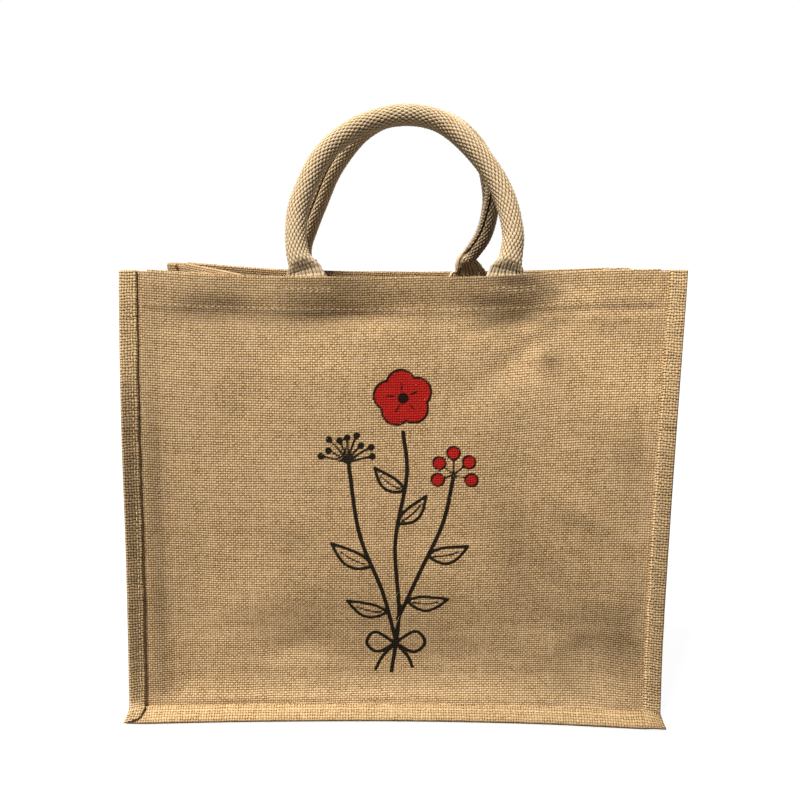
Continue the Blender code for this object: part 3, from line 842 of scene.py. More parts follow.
def strip_rows(edge, out, outside):
    """How far along the seam the rows of a strip lie, corners and ends included, and
    how far its outer layer is lifted over the strip that it crosses."""
    if edge == "foot":
        even = np.linspace(0.0, 1.0, 300)[:, None]
        left = past_corner(even, *FOOT_STRIP_LEFT_END)
        right = past_corner(1 - even, *FOOT_STRIP_RIGHT_END)
        along = even - left + right + 0 * out
        return along, np.where(outside, (LAYER + 0.0003) * over_right_strip(along), 0.0)
    if edge == "left":
        even = np.linspace(0.0, 1.0, 270)[:, None]
        share, inner_reach = LEFT_STRIP_END
        reach = np.where(outside, read(LAP, np.clip(out, -0.2, 1.3), 1), inner_reach)
        along = even - past_corner(even, share, reach)
        return along, (LAYER + 0.0002) * smooth((0.004 - along * SIDE_LENGTH) / 0.012)
    distance = np.linspace(-RIGHT_STRIP_REACH * FLANGE, SIDE_LENGTH, 290)[:, None]
    along = np.where(distance < 0, distance / FLANGE, distance / SIDE_LENGTH) + 0 * out
    return along, 0.0


def strip_shade(panel, edge, along, out):
    """How much painted shade each place of a strip has; the bead and the left strip's outer fold
    get less, as painted highlights.
    """
    level = np.clip(along, 0.0, 1.0)
    # The bead keeps less painted shade: a painted highlight along it.
    off_bead = smooth((out - 0.20) / 0.08)
    if edge == "left":
        # The left strip's outer fold is painted lighter: a painted highlight.
        painted_fold_highlight = smooth((out - 0.86) / 0.08)
        shade = read(LEFT_SHADE, level, 1) * (0.62 + 0.38 * off_bead) * (1 - 0.6 * painted_fold_highlight)
    elif edge == "right":
        shade = read(RIGHT_SHADE, level, 1) * (0.1 + 0.9 * off_bead)
    else:
        # Painted shade along the foot strip, growing towards its right end.
        shade = 0.10 + 0.26 * smooth(level)
    # The back's strips get less painted shade.
    if panel is BACK:
        shade = 0.3 * shade
    return COMMON_SHADE + (1 - COMMON_SHADE) * shade


def binding_cloth(name, panel, edge, seed):
    """One strip of the binding. At its lower corners the left strip lies over the
    foot strip, and the foot strip over the right one."""
    section = binding_section(0.0003 if edge == "foot" else 0.0004)
    out = section[:, 0][None, :]
    height = section[:, 1][None, :]
    along, lift = strip_rows(edge, out, height > -LAYER / 2)
    metres = along * (BASE_LENGTH if edge == "foot" else SIDE_LENGTH)
    inner_edge = np.exp(-np.maximum(out, 0) / 0.2)
    out_now = out + inner_edge * uneven(metres, 0 * out, 0.035, seed + 1) * 0.045
    if edge == "left":
        out_now = out_now + inner_edge * 0.08 * (1 - np.clip(along, 0.0, 1.0))
    elif edge == "foot":
        out_now = out_now - inner_edge * 0.20 * over_right_strip(along)
    wobble = 0.00035 * uneven(metres, out * 0.004, 0.02, seed)
    raised = wobble * smooth((out + 0.05) / 0.2) + lift
    height = np.where(height > 0, height + raised, height - raised * 0.3)
    points = panel.in_flange(edge, along, out_now, height, eased=edge == "right")
    threads = cloth_lengths(points)
    if edge != "foot":
        threads = stack(threads[..., 0], -lengths_down(points))
    painted = {"shade": strip_shade(panel, edge, along, out)}
    flip = (panel is BACK) != (edge == "foot")
    return grid_piece(name, points, threads, painted, flip=flip)


def handle_line(panel, table, share):
    """A handle's middle line: up behind the hem, then leaning in over the mouth."""
    at = share * (len(table) - 1)
    x = read(numbered(table), at, 1)
    z = read(numbered(table), at, 2)
    behind_hem = LAYER + CLOTH / 2 + 0.0003 + FRONT_SECTION[0][2] / 2 + FOOT_CLEAR
    height = np.minimum(z, HANDLE_RIM)
    up = (height - SEAM_HEIGHT) / (read(panel.rim, x, 1) - SEAM_HEIGHT)
    left = read(panel.sides, height, 1)
    right = read(panel.sides, height, 2)
    hem = panel.body((x - left) / (right - left), np.minimum(1.0, up))
    lean = behind_hem + HANDLE_LEAN * np.maximum(0.0, z - HANDLE_RIM)
    return stack(x, hem[..., 1] - panel.facing * lean, z)


WEBBING_THREADS = 34  # lengthwise threads around a handle
WEBBING_PITCH = 0.0028  # how far along a lengthwise thread shows before it dips
WEBBING_RELIEF = 0.00085
POINTS_PER_THREAD = 3  # around a handle
RINGS_PER_FLOAT = 4  # along it
TAB_COLUMNS = 22  # columns of floats around a flat foot
HANDLE_RADIUS = 0.0082
FIN_HALF = 0.0019  # half the thickness of the sewn edge
FIN_HEIGHT = 0.0020
GROOVE_AT = 0.0031  # from the middle of the sewn edge
GROOVE_HALF = 0.0009
GROOVE_DEPTH = 0.0007
PIPING_HALF = 0.0014  # along the long edges of a flat foot
PIPING_HEIGHT = 0.0006
# Painted shade over all the webbing, and painted shade in the grooves beside the sewn edge.
WEBBING_SHADE = 0.12
GROOVE_SHADE = 0.34

# Where the sewn edge of the webbing runs: share of the handle, degrees around it.
FRONT_SEAM = ((0.0, 90.0), (0.5, 90.0), (1.0, 90.0))
BACK_SEAM = ((0.0, 222.0), (0.30, 222.0), (0.52, 232.0), (0.72, 318.0), (1.0, 322.0))
HANDLES = {
    "front_handle": (FRONT, FRONT_HANDLE, (FRONT_SECTION, FRONT_SECTION), FRONT_SEAM),
    "back_handle": (BACK, BACK_HANDLE, (BACK_LEFT_SECTION, BACK_SECTION), BACK_SEAM),
}


def webbing_floats(across, along):
    """The relief of webbing, 0 to 1, over coordinates counted in threads: rounded
    lengthwise threads that show in every second place and dip between."""
    best = np.zeros(np.broadcast(across, along).shape)
    for aside in (-1, 0, 1):
        for onward in (-1, 0, 1):
            column = np.floor(across) + aside
            row = np.floor(along) + onward
            shows = (column + row) % 2 == 0
            broad = (across - column - 0.5) / 0.84
            long = (along - row - 0.5) / 0.64
            dome = np.sqrt(np.maximum(0.0, 1 - broad**2 - long**2))
            best = np.maximum(best, np.where(shows, dome, 0.0))
    return best


def tab_floats(across, along):
    """The relief where the webbing lies flat: a square grid of floats."""
    broad = (across * TAB_COLUMNS / WEBBING_THREADS % 1.0 - 0.5) / 0.47
    long = (along % 1.0 - 0.5) / 0.60
    return np.sqrt(np.maximum(0.0, 1 - broad**2)) * np.sqrt(np.maximum(0.0, 1 - long**2))


def ring_angles(width, thickness, square, around):
    """Angles that lie evenly along the outline of each section."""
    fine = np.linspace(0, 2 * math.pi, 721)
    cosine = np.cos(fine)
    sine = np.sin(fine)
    angles = np.empty((len(width), len(around)))
    for k in range(len(width)):
        size = (np.abs(cosine) ** square[k] + np.abs(sine) ** square[k]) ** (-1 / square[k])
        x = cosine * size * width[k] / 2
        y = sine * size * thickness[k] / 2
        gone = running_total(np.hypot(np.diff(x), np.diff(y)))
        angles[k] = np.interp(around, gone / gone[-1], fine)
    return angles


def turn_between(angle, middle):
    """How far angle lies from middle around a circle, in radians."""
    return np.abs((angle - middle + math.pi) % (2 * math.pi) - math.pi)


def handle_frames(panel, table, sections, share):
    """The middle of a handle, the ways across it, and its section's sizes."""
    step = 0.004
    ahead = handle_line(panel, table, np.minimum(1.0, share + step))
    behind = handle_line(panel, table, np.maximum(0.0, share - step))
    middle = handle_line(panel, table, share)
    along = unit(ahead - behind)
    broad = unit(np.cross(np.array((0.0, 1.0, 0.0)), along))
    deep = np.cross(along, broad)
    over_rim = middle[:, 2] - HANDLE_RIM
    side = np.where(share < 0.5, 0, 1)
    sizes = []
    for k in (1, 2, 3):
        both = np.array([read(table, over_rim, k) for table in sections])
        sizes.append(both[side, np.arange(len(share))][:, None])
    return middle[:, None, :], broad[:, None, :], deep[:, None, :], sizes, over_rim


def handle_surface(frames, angle):
    """Places on a handle's skin, and the ways out of it, at angles around each section."""
    middle, broad, deep, (width, thickness, square), _ = frames
    size = (np.abs(np.cos(angle)) ** square + np.abs(np.sin(angle)) ** square) ** (-1 / square)
    x = (np.cos(angle) * size)[..., None]
    y = (np.sin(angle) * size)[..., None]
    half_width = width[..., None] / 2
    half_thickness = thickness[..., None] / 2
    surface = middle + broad * x * half_width + deep * y * half_thickness
    return surface, unit(broad * x / half_width + deep * y / half_thickness)


def woven_relief(across, along, roundness):
    """The webbing's relief over its thread counts, flat at the feet and round above."""
    stray = 0.16 * uneven(across * 0.002, along * 0.003, 0.03, 17)
    flat = tab_floats(across + stray, along)
    woven = between(flat, webbing_floats(across, along + stray), roundness)
    return woven * (1 - 0.22 * np.abs(uneven(across * 0.1, along * 0.1, 0.4, 23)))


def handle_shade(panel, share, over_rim):
    """How much painted shade a handle has along its length: a painted shadow where a foot turns
    into the tube, and on the back handle a painted shadow on its right leg and painted light on
    its left.
    """
    foot_painted_shadow = between(0.18, 0.30, smooth(share)) if panel is FRONT else 0.05
    shade = WEBBING_SHADE + foot_painted_shadow * np.exp(-(((over_rim - 0.0060) / 0.0042) ** 2))
    if panel is BACK:
        high = smooth((over_rim - 0.012) / 0.006)
        shade = shade + high * between(-0.10, 0.34, smooth((share - 0.60) / 0.10))
    return shade[:, None]


def handle_webbing(name, panel, table, sections, seam):
    """A handle: webbing folded around its filling and sewn along one raised edge, with
    flat feet, whose two long edges are piped."""
    even = np.linspace(0, 1, 2000)
    coarse = handle_line(panel, table, even)
    travelled = running_total(np.linalg.norm(np.diff(coarse, axis=0), axis=-1))
    rings = int(travelled[-1] / WEBBING_PITCH) * RINGS_PER_FLOAT
    distance = np.linspace(0, travelled[-1], rings + 1)
    share = np.interp(distance, travelled, even)
    frames = handle_frames(panel, table, sections, share)
    sizes, over_rim = frames[3:]
    points_around = WEBBING_THREADS * POINTS_PER_THREAD
    around = np.arange(points_around + 1) / points_around
    angle = ring_angles(*(size[:, 0] for size in sizes), around)
    roundness = smooth((over_rim - 0.004) / 0.014)[:, None]
    across = around[None, :] * WEBBING_THREADS + 0 * distance[:, None]
    along = (distance / WEBBING_PITCH)[:, None] + 0 * around[None, :]
    aside = turn_between(angle, np.radians(read(seam, share, 1))[:, None]) * HANDLE_RADIUS
    fin = np.exp(-((aside / FIN_HALF) ** 4)) * roundness
    groove = np.exp(-(((aside - GROOVE_AT) / GROOVE_HALF) ** 2)) * roundness
    to_side = np.minimum(turn_between(angle, 0.0), turn_between(angle, math.pi)) * sizes[0] / 2
    piping = np.exp(-((to_side / PIPING_HALF) ** 2)) * (1 - roundness)
    edge = np.maximum(fin, piping)
    ribs = 0.62 + 0.22 * np.cos(along * 2 * math.pi)
    woven = between(woven_relief(across, along, roundness), ribs, np.minimum(1.0, edge * 1.2))
    woven = woven * (1 - 0.8 * groove)
    woven = between(0.5 + 1.5 * (woven - 0.5), woven, roundness)
    lift = WEBBING_RELIEF * (woven - 0.5)
    lift = lift + FIN_HEIGHT * fin + PIPING_HEIGHT * piping - GROOVE_DEPTH * groove
    surface, normal = handle_surface(frames, angle)
    points = surface + normal * lift[..., None]
    points[:, -1] = points[:, 0]
    woven[:, -1] = woven[:, 0]
    # Painted shade in the grooves beside the sewn edge.
    shade = handle_shade(panel, share, over_rim) + GROOVE_SHADE * groove
    painted = {"shade": np.clip(shade, 0.0, DARKEST), "woven": woven, "edge": edge}
    piece = grid_piece(name, points, stack(across, along), painted)
    close_ends(piece)
    return piece


def close_ends(piece):
    mesh = bmesh.new()
    mesh.from_mesh(piece.data)
    bmesh.ops.remove_doubles(mesh, verts=mesh.verts, dist=1e-6)
    rim = [edge for edge in mesh.edges if edge.is_boundary]
    bmesh.ops.holes_fill(mesh, edges=rim, sides=0)
    bmesh.ops.recalc_face_normals(mesh, faces=mesh.faces)
    mesh.to_mesh(piece.data)
    mesh.free()


# The print, in millimetres: a bunch of wild flowers in brush strokes.
STEM_WIDTH = 3.1
BOW_WIDTH = 2.7
LEAF_WIDTH = 2.4
VEIN_WIDTH = 1.5
RAY_WIDTH = 1.7
STAMEN_WIDTH = 1.3
STALK_WIDTH = 1.4
PETAL_OUTLINE = 1.8
BERRY_OUTLINE = 1.6
NO_INK = -9.0
STEMS = (
    ((-7, 40), (-1, 92), (-4, 152), (5, 206), (2, 240)),
    ((-3, 66), (-14, 112), (-32, 160), (-40, 214)),
    ((-2, 88), (15, 128), (33, 168), (41, 205)),
)
LEAVES = (
    ((-22, 134), (-54, 152), 6.5),
    ((22, 142), (53, 150), -6.5),
    ((-2, 168), (20, 190), -5.5),
    ((3, 194), (-20, 212), 5.5),
    ((-11, 94), (-42, 104), 6.0),
    ((6, 104), (38, 106), -6.0),
)
BOW = (
    ((-4, 66), (-20, 76), (-27, 66), (-18, 58), (-4, 66)),
    ((-4, 66), (12, 77), (20, 67), (11, 58), (-4, 66)),
    ((-4, 66), (-14, 54), (-20, 42)),
    ((-4, 66), (6, 54), (10, 44)),
)
BLOSSOM = (2, 266)
UMBEL = (-41, 216)
BERRIES = ((30, 216), (41, 224), (53, 217), (55, 203), (29, 203))
BERRY_FORK = (41.0, 207.0)


def curve_through(points, count=36):
    at = np.linspace(0, len(points) - 1, count)
    return stack(read(numbered(points), at, 1), read(numbered(points), at, 2))


def around_point(middle, turn, wide, high):
    """A place off a middle at a turn in degrees, wide and high giving how far."""
    turn = math.radians(turn)
    return (middle[0] + wide * math.cos(turn), middle[1] + high * math.sin(turn))


def from_line(x, z, line):
    """Distance to a line of points, in millimetres."""
    nearest = np.full(x.shape, 1e3)
    for start, end in zip(line[:-1], line[1:]):
        way = end - start
        share = ((x - start[0]) * way[0] + (z - start[1]) * way[1]) / max(1e-9, way @ way)
        share = np.clip(share, 0.0, 1.0)
        apart = np.hypot(x - start[0] - share * way[0], z - start[1] - share * way[1])
        nearest = np.minimum(nearest, apart)
    return nearest


def leaf_outline(base, tip, bulge):
    base = np.array(base, float)
    tip = np.array(tip, float)
    aside = np.array((base[1] - tip[1], tip[0] - base[0])) / np.linalg.norm(tip - base)
    share = np.linspace(0, 1, 16)[:, None]
    middle = base + (tip - base) * share + aside * bulge * 0.5 * np.sin(share * math.pi)
    swell = aside * bulge * np.sin(share**0.8 * math.pi)
    return np.concatenate((middle + swell, (middle - swell)[::-1])), middle


class Print:
    """Black and red ink on cloth: how far inside each ink every place lies, in
    millimetres, and less than nought where it has none."""

    def __init__(self, x, z):
        self.x = x
        self.z = z
        self.black = np.full(x.shape, NO_INK)
        self.red = np.full(x.shape, NO_INK)

    def disc(self, middle, radius):
        return radius - np.hypot(self.x - middle[0], self.z - middle[1])

    def ink(self, inside):
        self.black = np.maximum(self.black, inside)

    def along(self, line, width):
        return width / 2 - from_line(self.x, self.z, line)

    def stroke(self, line, width):
        self.ink(self.along(line, width))

    def fill(self, inside, outline):
        """Red ink with a black outline, which is half the outline's width either way."""
        self.red = np.maximum(self.red, inside)
        self.ink(outline / 2 - np.abs(inside))


def draw_umbel(drawing):
    for k in range(9):
        turn = 90 + (k - 4) * 19
        length = 20 + 3 * math.sin(k * 2.4)
        tip = around_point(UMBEL, turn, length, length)
        bend_at = around_point(UMBEL, turn, length * 0.5, length * 0.6)
        drawing.stroke(curve_through((UMBEL, bend_at, tip), 12), RAY_WIDTH)
        drawing.ink(drawing.disc(tip, 2.7))


def draw_blossom(drawing):
    petals = []
    for k in range(5):
        turn = 90 + 72 * k + 8
        petals.append(drawing.disc(around_point(BLOSSOM, turn, 11.5, 10.5), 11.2))
        inner = around_point(BLOSSOM, turn, 6.5, 6.5)
        outer = around_point(BLOSSOM, turn, 12.5, 12.0)
        drawing.stroke(np.array((inner, outer)), STAMEN_WIDTH)
    drawing.fill(np.max(petals, axis=0), PETAL_OUTLINE)
    drawing.ink(drawing.disc(BLOSSOM, 4.2))


def draw_berries(drawing):
    for berry in BERRIES:
        disc = drawing.disc(berry, 5.0)
        drawing.fill(disc, BERRY_OUTLINE)
        stalk = drawing.along(np.array((BERRY_FORK, berry)), STALK_WIDTH)
        drawing.ink(np.where(disc > -0.5, NO_INK, stalk))


def flower_print(x, z):
    """The bunch of flowers, as distances inside its black and its red ink."""
    drawing = Print(x, z)
    for stem in STEMS:
        drawing.stroke(curve_through(stem), STEM_WIDTH)
    for loop in BOW:
        drawing.stroke(curve_through(loop), BOW_WIDTH)
    for base, tip, bulge in LEAVES:
        outline, middle = leaf_outline(base, tip, bulge)
        drawing.stroke(outline, LEAF_WIDTH)
        drawing.stroke(middle[2:12], VEIN_WIDTH)
    draw_umbel(drawing)
    draw_blossom(drawing)
    draw_berries(drawing)
    return drawing.black, drawing.red


def cords(name, paths, radius, sides):
    """Round threads along paths: one row of points for each thread."""
    count, steps = paths.shape[:2]
    way = unit(np.gradient(paths, axis=1))
    other = unit(np.cross(way, np.array((0.31, 0.52, 0.80))))
    third = np.cross(way, other)
    turn = np.arange(sides) * 2 * math.pi / sides
    radius = np.broadcast_to(radius, (count, steps))[:, :, None, None]
    ring = other[:, :, None] * np.cos(turn)[:, None] + third[:, :, None] * np.sin(turn)[:, None]
    points = (paths[:, :, None] + ring * radius).reshape(-1, 3)
    base = (np.arange(count) * steps * sides)[:, None, None]
    step = (np.arange(steps - 1) * sides)[None, :, None]
    here = np.arange(sides)[None, None, :]
    a = base + step + here
    b = base + step + (here + 1) % sides
    quads = np.stack((a, b, b + sides, a + sides), axis=-1).reshape(-1, 4)
    return quad_piece(name, points, quads)


STITCH = (0.0036, 0.0010)  # its length, and the gap to the next
FIN_STITCH = (0.0034, 0.0009)
THREAD_RADIUS = 0.00030
BINDING_ROW = 0.0047 / FLANGE  # how far out the row on a binding lies
HEM_ROW = HEM - 0.003  # how far below the rim
FOOT_ROWS = (0.0082, 0.0106)  # below the rim, over each handle's foot


def stitches_along(line, outward, stitch, rise):
    """Lockstitches on a line of close points: each one dives in at both ends."""
    length, gap = stitch
    travelled = running_total(np.linalg.norm(np.diff(line, axis=0), axis=-1))
    starts = np.arange(0.5 * gap, travelled[-1] - length, length + gap)
    share = np.linspace(0.0, 1.0, 7)
    at = starts[:, None] + length * share[None, :]
    place = np.stack([np.interp(at, travelled, line[:, k]) for k in range(3)], axis=-1)
    normal = np.stack([np.interp(at, travelled, outward[:, k]) for k in range(3)], axis=-1)
    height = rise - (rise + 0.0007) * np.abs(2 * share - 1) ** 3.0
    return place + unit(normal) * height[None, :, None]


def binding_stitches(panel):
    """A row of stitching down each binding, beside its bead."""
    along = np.linspace(0.015, 0.985, 400)
    rows = []
    for edge in ("left", "right", "foot"):
        line = panel.in_flange(edge, along, BINDING_ROW, LAYER + CLOTH / 2)
        above = panel.in_flange(edge, along, BINDING_ROW, LAYER + 0.01)
        rows.append(stitches_along(line, above - line, STITCH, 0.00022))
    return np.concatenate(rows)


def hem_stitches(panel):
    """The hem's row, and short rows where the handles are sewn in under it."""
    lines = [(HEM_ROW, 0.02, 0.98, -0.00010)]
    feet = (-0.0735, 0.0812) if panel is FRONT else (-0.0850, 0.0628)
    for middle, rise in zip(feet, (-0.00012, -0.00008)):
        share = (middle + PANEL_WIDTH / 2) / PANEL_WIDTH
        for drop in FOOT_ROWS:
            lines.append((drop, share - 0.042, share + 0.050, rise))
    rows = []
    for drop, start, end, rise in lines:
        across = np.linspace(start, end, 500)
        up = 1 - drop / SIDE_LENGTH + 0.0009 * np.sin(across * 40)
        normal = panel.outward(across, up)
        line = panel.point(across, up) + normal * (CLOTH / 2)
        rows.append(stitches_along(line, normal, STITCH, rise))
    return np.concatenate(rows)


def fin_stitches(panel, table, sections, seam):
    """The row that closes a handle's webbing, on both faces of its sewn edge."""
    share = np.linspace(0.10, 0.90, 1500)
    frames = handle_frames(panel, table, sections, share)
    keep = frames[4] > 0.016
    rows = []
    for aside in (-0.0021, 0.0021):
        angle = np.radians(read(seam, share, 1))[:, None] + aside / HANDLE_RADIUS
        surface, normal = handle_surface(frames, angle)
        line = (surface + normal * 0.0011)[keep, 0]
        rows.append(stitches_along(line, normal[keep, 0], FIN_STITCH, 0.00035))
    return np.concatenate(rows)


def stray_fibres(count, seed):
    """Jute fibres that stand off the cloth, mostly at its edges."""
    draw = np.random.RandomState(seed)
    roots = []
    ways = []
    for k in range(count):
        panel = FRONT if k % 3 else BACK
        spot = draw.uniform()
        if spot < 0.30:
            edge = ("left", "right", "foot")[draw.randint(3)]
            at = draw.uniform(0.02, 0.98)
            root = panel.in_flange(edge, at, 0.97, 0.0)
            inner = panel.in_flange(edge, at, 0.80, 0.0)
            way = unit(root - inner)
        elif spot < 0.52:
            across = draw.uniform(0.02, 0.98)
            root = panel.point(np.array(across), np.array(1.0))
            way = np.array((0.0, 0.0, 1.0))
        else:
            across = draw.uniform(0.03, 0.97)
            up = draw.uniform(0.03, 0.97)
            normal = panel.outward(np.array(across), np.array(up))
            root = panel.point(np.array(across), np.array(up)) + normal * CLOTH * 0.6
            way = normal * 0.35
        roots.append(root)
        ways.append(way + draw.normal(0, 0.45, 3))
    roots = np.array(roots)
    ways = unit(np.array(ways))
    curl = unit(draw.normal(0, 1, ways.shape))
    length = draw.uniform(0.0018, 0.0052, count)[:, None, None]
    share = np.linspace(0, 1, 6)[None, :, None]
    paths = roots[:, None] + length * (ways[:, None] * share + curl[:, None] * 0.6 * share**2)
    paths[..., 2] = np.maximum(paths[..., 2], 0.0003)
    return paths


class Wiring:
    """Adds shader nodes to one tree; a value is a number or another node's socket."""

    def __init__(self, tree):
        self.tree = tree

    def node(self, kind, **settings):
        made = self.tree.nodes.new(kind)
        for name, value in settings.items():
            setattr(made, name, value)
        return made

    def feed(self, socket, value):
        if isinstance(value, bpy.types.NodeSocket):
            self.tree.links.new(value, socket)
        elif value is not None:
            socket.default_value = value

    def math(self, operation, first, second=None, third=None):
        made = self.node("ShaderNodeMath", operation=operation)
        for socket, value in zip(made.inputs, (first, second, third)):
            self.feed(socket, value)
        return made.outputs[0]

    def vector(self, operation, first, second=None, scale=None):
        made = self.node("ShaderNodeVectorMath", operation=operation)
        self.feed(made.inputs[0], first)
        self.feed(made.inputs[1], second)
        if scale is not None:
            self.feed(made.inputs["Scale"], scale)
        return made.outputs[0]

    def split(self, vector):
        made = self.node("ShaderNodeSeparateXYZ")
        self.feed(made.inputs[0], vector)
        return made.outputs["X"], made.outputs["Y"]

    def join(self, x, y, z=0.0):
        made = self.node("ShaderNodeCombineXYZ")
        for socket, value in zip(made.inputs, (x, y, z)):
            self.feed(socket, value)
        return made.outputs[0]

    def noise(self, vector, scale, detail=2.0, output="Fac"):
        made = self.node("ShaderNodeTexNoise")
        self.feed(made.inputs["Vector"], vector)
        self.feed(made.inputs["Scale"], scale)
        self.feed(made.inputs["Detail"], detail)
        return made.outputs[output]

    def mix(self, share, first, second):
        made = self.node("ShaderNodeMix", data_type="FLOAT")
        for socket, value in zip(made.inputs, (share, None, first, second)):
            self.feed(socket, value)
        return made.outputs[0]

    def mix_colour(self, share, first, second, blend="MIX"):
        made = self.node("ShaderNodeMix", data_type="RGBA", blend_type=blend)
        self.feed(made.inputs[0], share)
        self.feed(made.inputs[6], first)
        self.feed(made.inputs[7], second)
        return made.outputs[2]

    def fade(self, value, start, end):
        """0 below start, 1 above end, smooth between them."""
        made = self.node("ShaderNodeMapRange", interpolation_type="SMOOTHSTEP")
        self.feed(made.inputs["Value"], value)
        self.feed(made.inputs["From Min"], start)
        self.feed(made.inputs["From Max"], end)
        return made.outputs["Result"]

    def ramp(self, value, stops):
        made = self.node("ShaderNodeValToRGB")
        while len(made.color_ramp.elements) < len(stops):
            made.color_ramp.elements.new(1.0)
        for element, (place, colour) in zip(made.color_ramp.elements, stops):
            element.position = place
            element.color = (*colour, 1.0)
        self.feed(made.inputs[0], value)
        return made.outputs["Color"]

    def swing(self, value, amount):
        """How far a value lies from a half, times an amount."""
        return self.math("MULTIPLY", self.math("SUBTRACT", value, 0.5), amount)

    def attribute(self, name):
        """The number painted on each point under a name."""
        return self.node("ShaderNodeAttribute", attribute_name=name).outputs["Fac"]

    def white_noise(self, vector):
        made = self.node("ShaderNodeTexWhiteNoise", noise_dimensions="3D")
        self.feed(made.inputs["Vector"], vector)
        return made.outputs["Value"]

    def place_group(self, tree, **values):
        """Places a group, feeds its inputs and gives its outputs."""
        made = self.node("ShaderNodeGroup", node_tree=tree)
        for name, value in values.items():
            self.feed(made.inputs[name.replace("_", " ")], value)
        return made.outputs


def new_group(name, inputs, outputs):
    tree = bpy.data.node_groups.new(name, "ShaderNodeTree")
    for socket, kind, value in inputs:
        made = tree.interface.new_socket(socket, in_out="INPUT", socket_type=kind)
        if value is not None:
            made.default_value = value
    for socket, kind in outputs:
        tree.interface.new_socket(socket, in_out="OUTPUT", socket_type=kind)
    entry = tree.nodes.new("NodeGroupInput")
    leave = tree.nodes.new("NodeGroupOutput")
    return tree, Wiring(tree), entry.outputs, leave.inputs


# Colours
CLOTH_TINT = (0.865, 0.820, 0.772)
UPRIGHT_TINT = (0.92, 0.84, 0.72)
FOOT_TINT = (1.00, 0.93, 0.82)
WEBBING_TINT = (0.93, 1.00, 1.13)
THREAD_COLOUR = (0.58, 0.42, 0.24)
FIBRE_COLOUR = (0.70, 0.52, 0.30)
STRAW_COLOURS = (
    (0.0, (0.100, 0.040, 0.004)),
    (0.30, (0.370, 0.208, 0.066)),
    (0.55, (0.640, 0.450, 0.245)),
    (1.0, (0.770, 0.580, 0.360)),
)
# Painted shade: the colour seen in the gaps between threads, and the colour that painted shade
# darkens towards.
SHADE_BETWEEN_THREADS = (0.050, 0.018, 0.001)
DEEP_SHADE = (0.008, 0.003, 0.0)
RED_INK = (0.28, 0.0050, 0.0040)
BLACK_INK = (0.006, 0.004, 0.002)


FLOAT = "NodeSocketFloat"
VECTOR = "NodeSocketVector"
COLOUR = "NodeSocketColor"


def plain_weave_group():
    """Plain weave over coordinates counted in threads."""
    tree, w, given, made = new_group(
        "plain weave",
        (
            ("Threads", VECTOR, None),
            ("Lengthwise Width", FLOAT, 0.40),
            ("Crosswise Width", FLOAT, 0.46),
            ("Lengthwise Depth", FLOAT, 0.2),
            ("Lengthwise Shade", FLOAT, 0.3),
            ("Slubs", FLOAT, 0.5),
            ("Wander", FLOAT, 0.5),
        ),
        (
            ("Height", FLOAT),
            ("Gap", FLOAT),
            ("Thread Tone", FLOAT),
            ("Fibre", FLOAT),
        ),
    )
    stray = w.noise(given["Threads"], 0.22, 2.0, "Color")
    stray = w.vector("SUBTRACT", stray, (0.5, 0.5, 0.5))
    stray = w.vector("SCALE", stray, None, given["Wander"])
    x, y = w.split(w.vector("ADD", given["Threads"], stray))
    column = w.math("FLOOR", x)
    row = w.math("FLOOR", y)
    beside = w.math("SUBTRACT", w.math("FRACT", x), 0.5)
    above = w.math("SUBTRACT", w.math("FRACT", y), 0.5)
    odd = w.math("FLOORED_MODULO", w.math("ADD", column, row), 2.0)
    over = w.math("MULTIPLY_ADD", odd, -2.0, 1.0)
    lengthwise = w.math("MULTIPLY", over, w.math("COSINE", w.math("MULTIPLY", above, math.pi)))
    crosswise = w.math("MULTIPLY", over, w.math("COSINE", w.math("MULTIPLY", beside, math.pi)))
    crosswise = w.math("MULTIPLY", crosswise, -1.0)

    def thread(wave, aside, width, slub_place):
        slub = w.math("ADD", w.swing(w.noise(slub_place, 1.0, 2.0), given["Slubs"]), 1.0)
        share = w.math("DIVIDE", aside, w.math("MULTIPLY", width, slub))
        inside = w.math("SUBTRACT", 1.0, w.math("MULTIPLY", share, share))
        round_top = w.math("SQRT", w.math("MAXIMUM", inside, 0.0))
        lift = w.math("MULTIPLY", wave, 0.5)
        return w.math("MULTIPLY_ADD", round_top, 0.5, lift), round_top

    along_place = w.join(w.math("MULTIPLY", column, 7.31), w.math("MULTIPLY", y, 0.22), 3.7)
    cross_place = w.join(w.math("MULTIPLY", x, 0.22), w.math("MULTIPLY", row, 7.31), 8.1)
    along_top, along_round = thread(lengthwise, beside, given["Lengthwise Width"], along_place)
    cross_top, cross_round = thread(crosswise, above, given["Crosswise Width"], cross_place)
    along_top = w.math("SUBTRACT", along_top, given["Lengthwise Depth"])
    w.feed(made["Height"], w.math("MAXIMUM", along_top, cross_top))
    cover = w.math("MAXIMUM", along_round, cross_round)
    w.feed(made["Gap"], w.math("SUBTRACT", 1.0, w.fade(cover, 0.0, 0.72)))

    shows = w.math("GREATER_THAN", along_top, cross_top)
    hides = w.math("SUBTRACT", 1.0, shows)
    whole = w.join(w.math("MULTIPLY", column, shows), w.math("MULTIPLY", row, hides), shows)
    single = w.join(column, row, 4.4)
    tone = w.mix(0.62, w.white_noise(whole), w.white_noise(single))
    # Painted shade on the lengthwise threads, which lie lower.
    below = w.math("MULTIPLY", shows, given["Lengthwise Shade"])
    w.feed(made["Thread Tone"], w.math("SUBTRACT", tone, below))

    slant = w.math("MULTIPLY_ADD", y, 1.6, w.math("MULTIPLY", x, 5.0))
    along_fibre = w.join(slant, w.math("MULTIPLY", y, 0.8), 1.3)
    slant = w.math("MULTIPLY_ADD", x, 1.6, w.math("MULTIPLY", y, 5.0))
    cross_fibre = w.join(w.math("MULTIPLY", x, 0.8), slant, 6.2)
    fibre = w.mix(shows, w.noise(cross_fibre, 1.0, 3.0), w.noise(along_fibre, 1.0, 3.0))
    w.feed(made["Fibre"], fibre)
    return tree


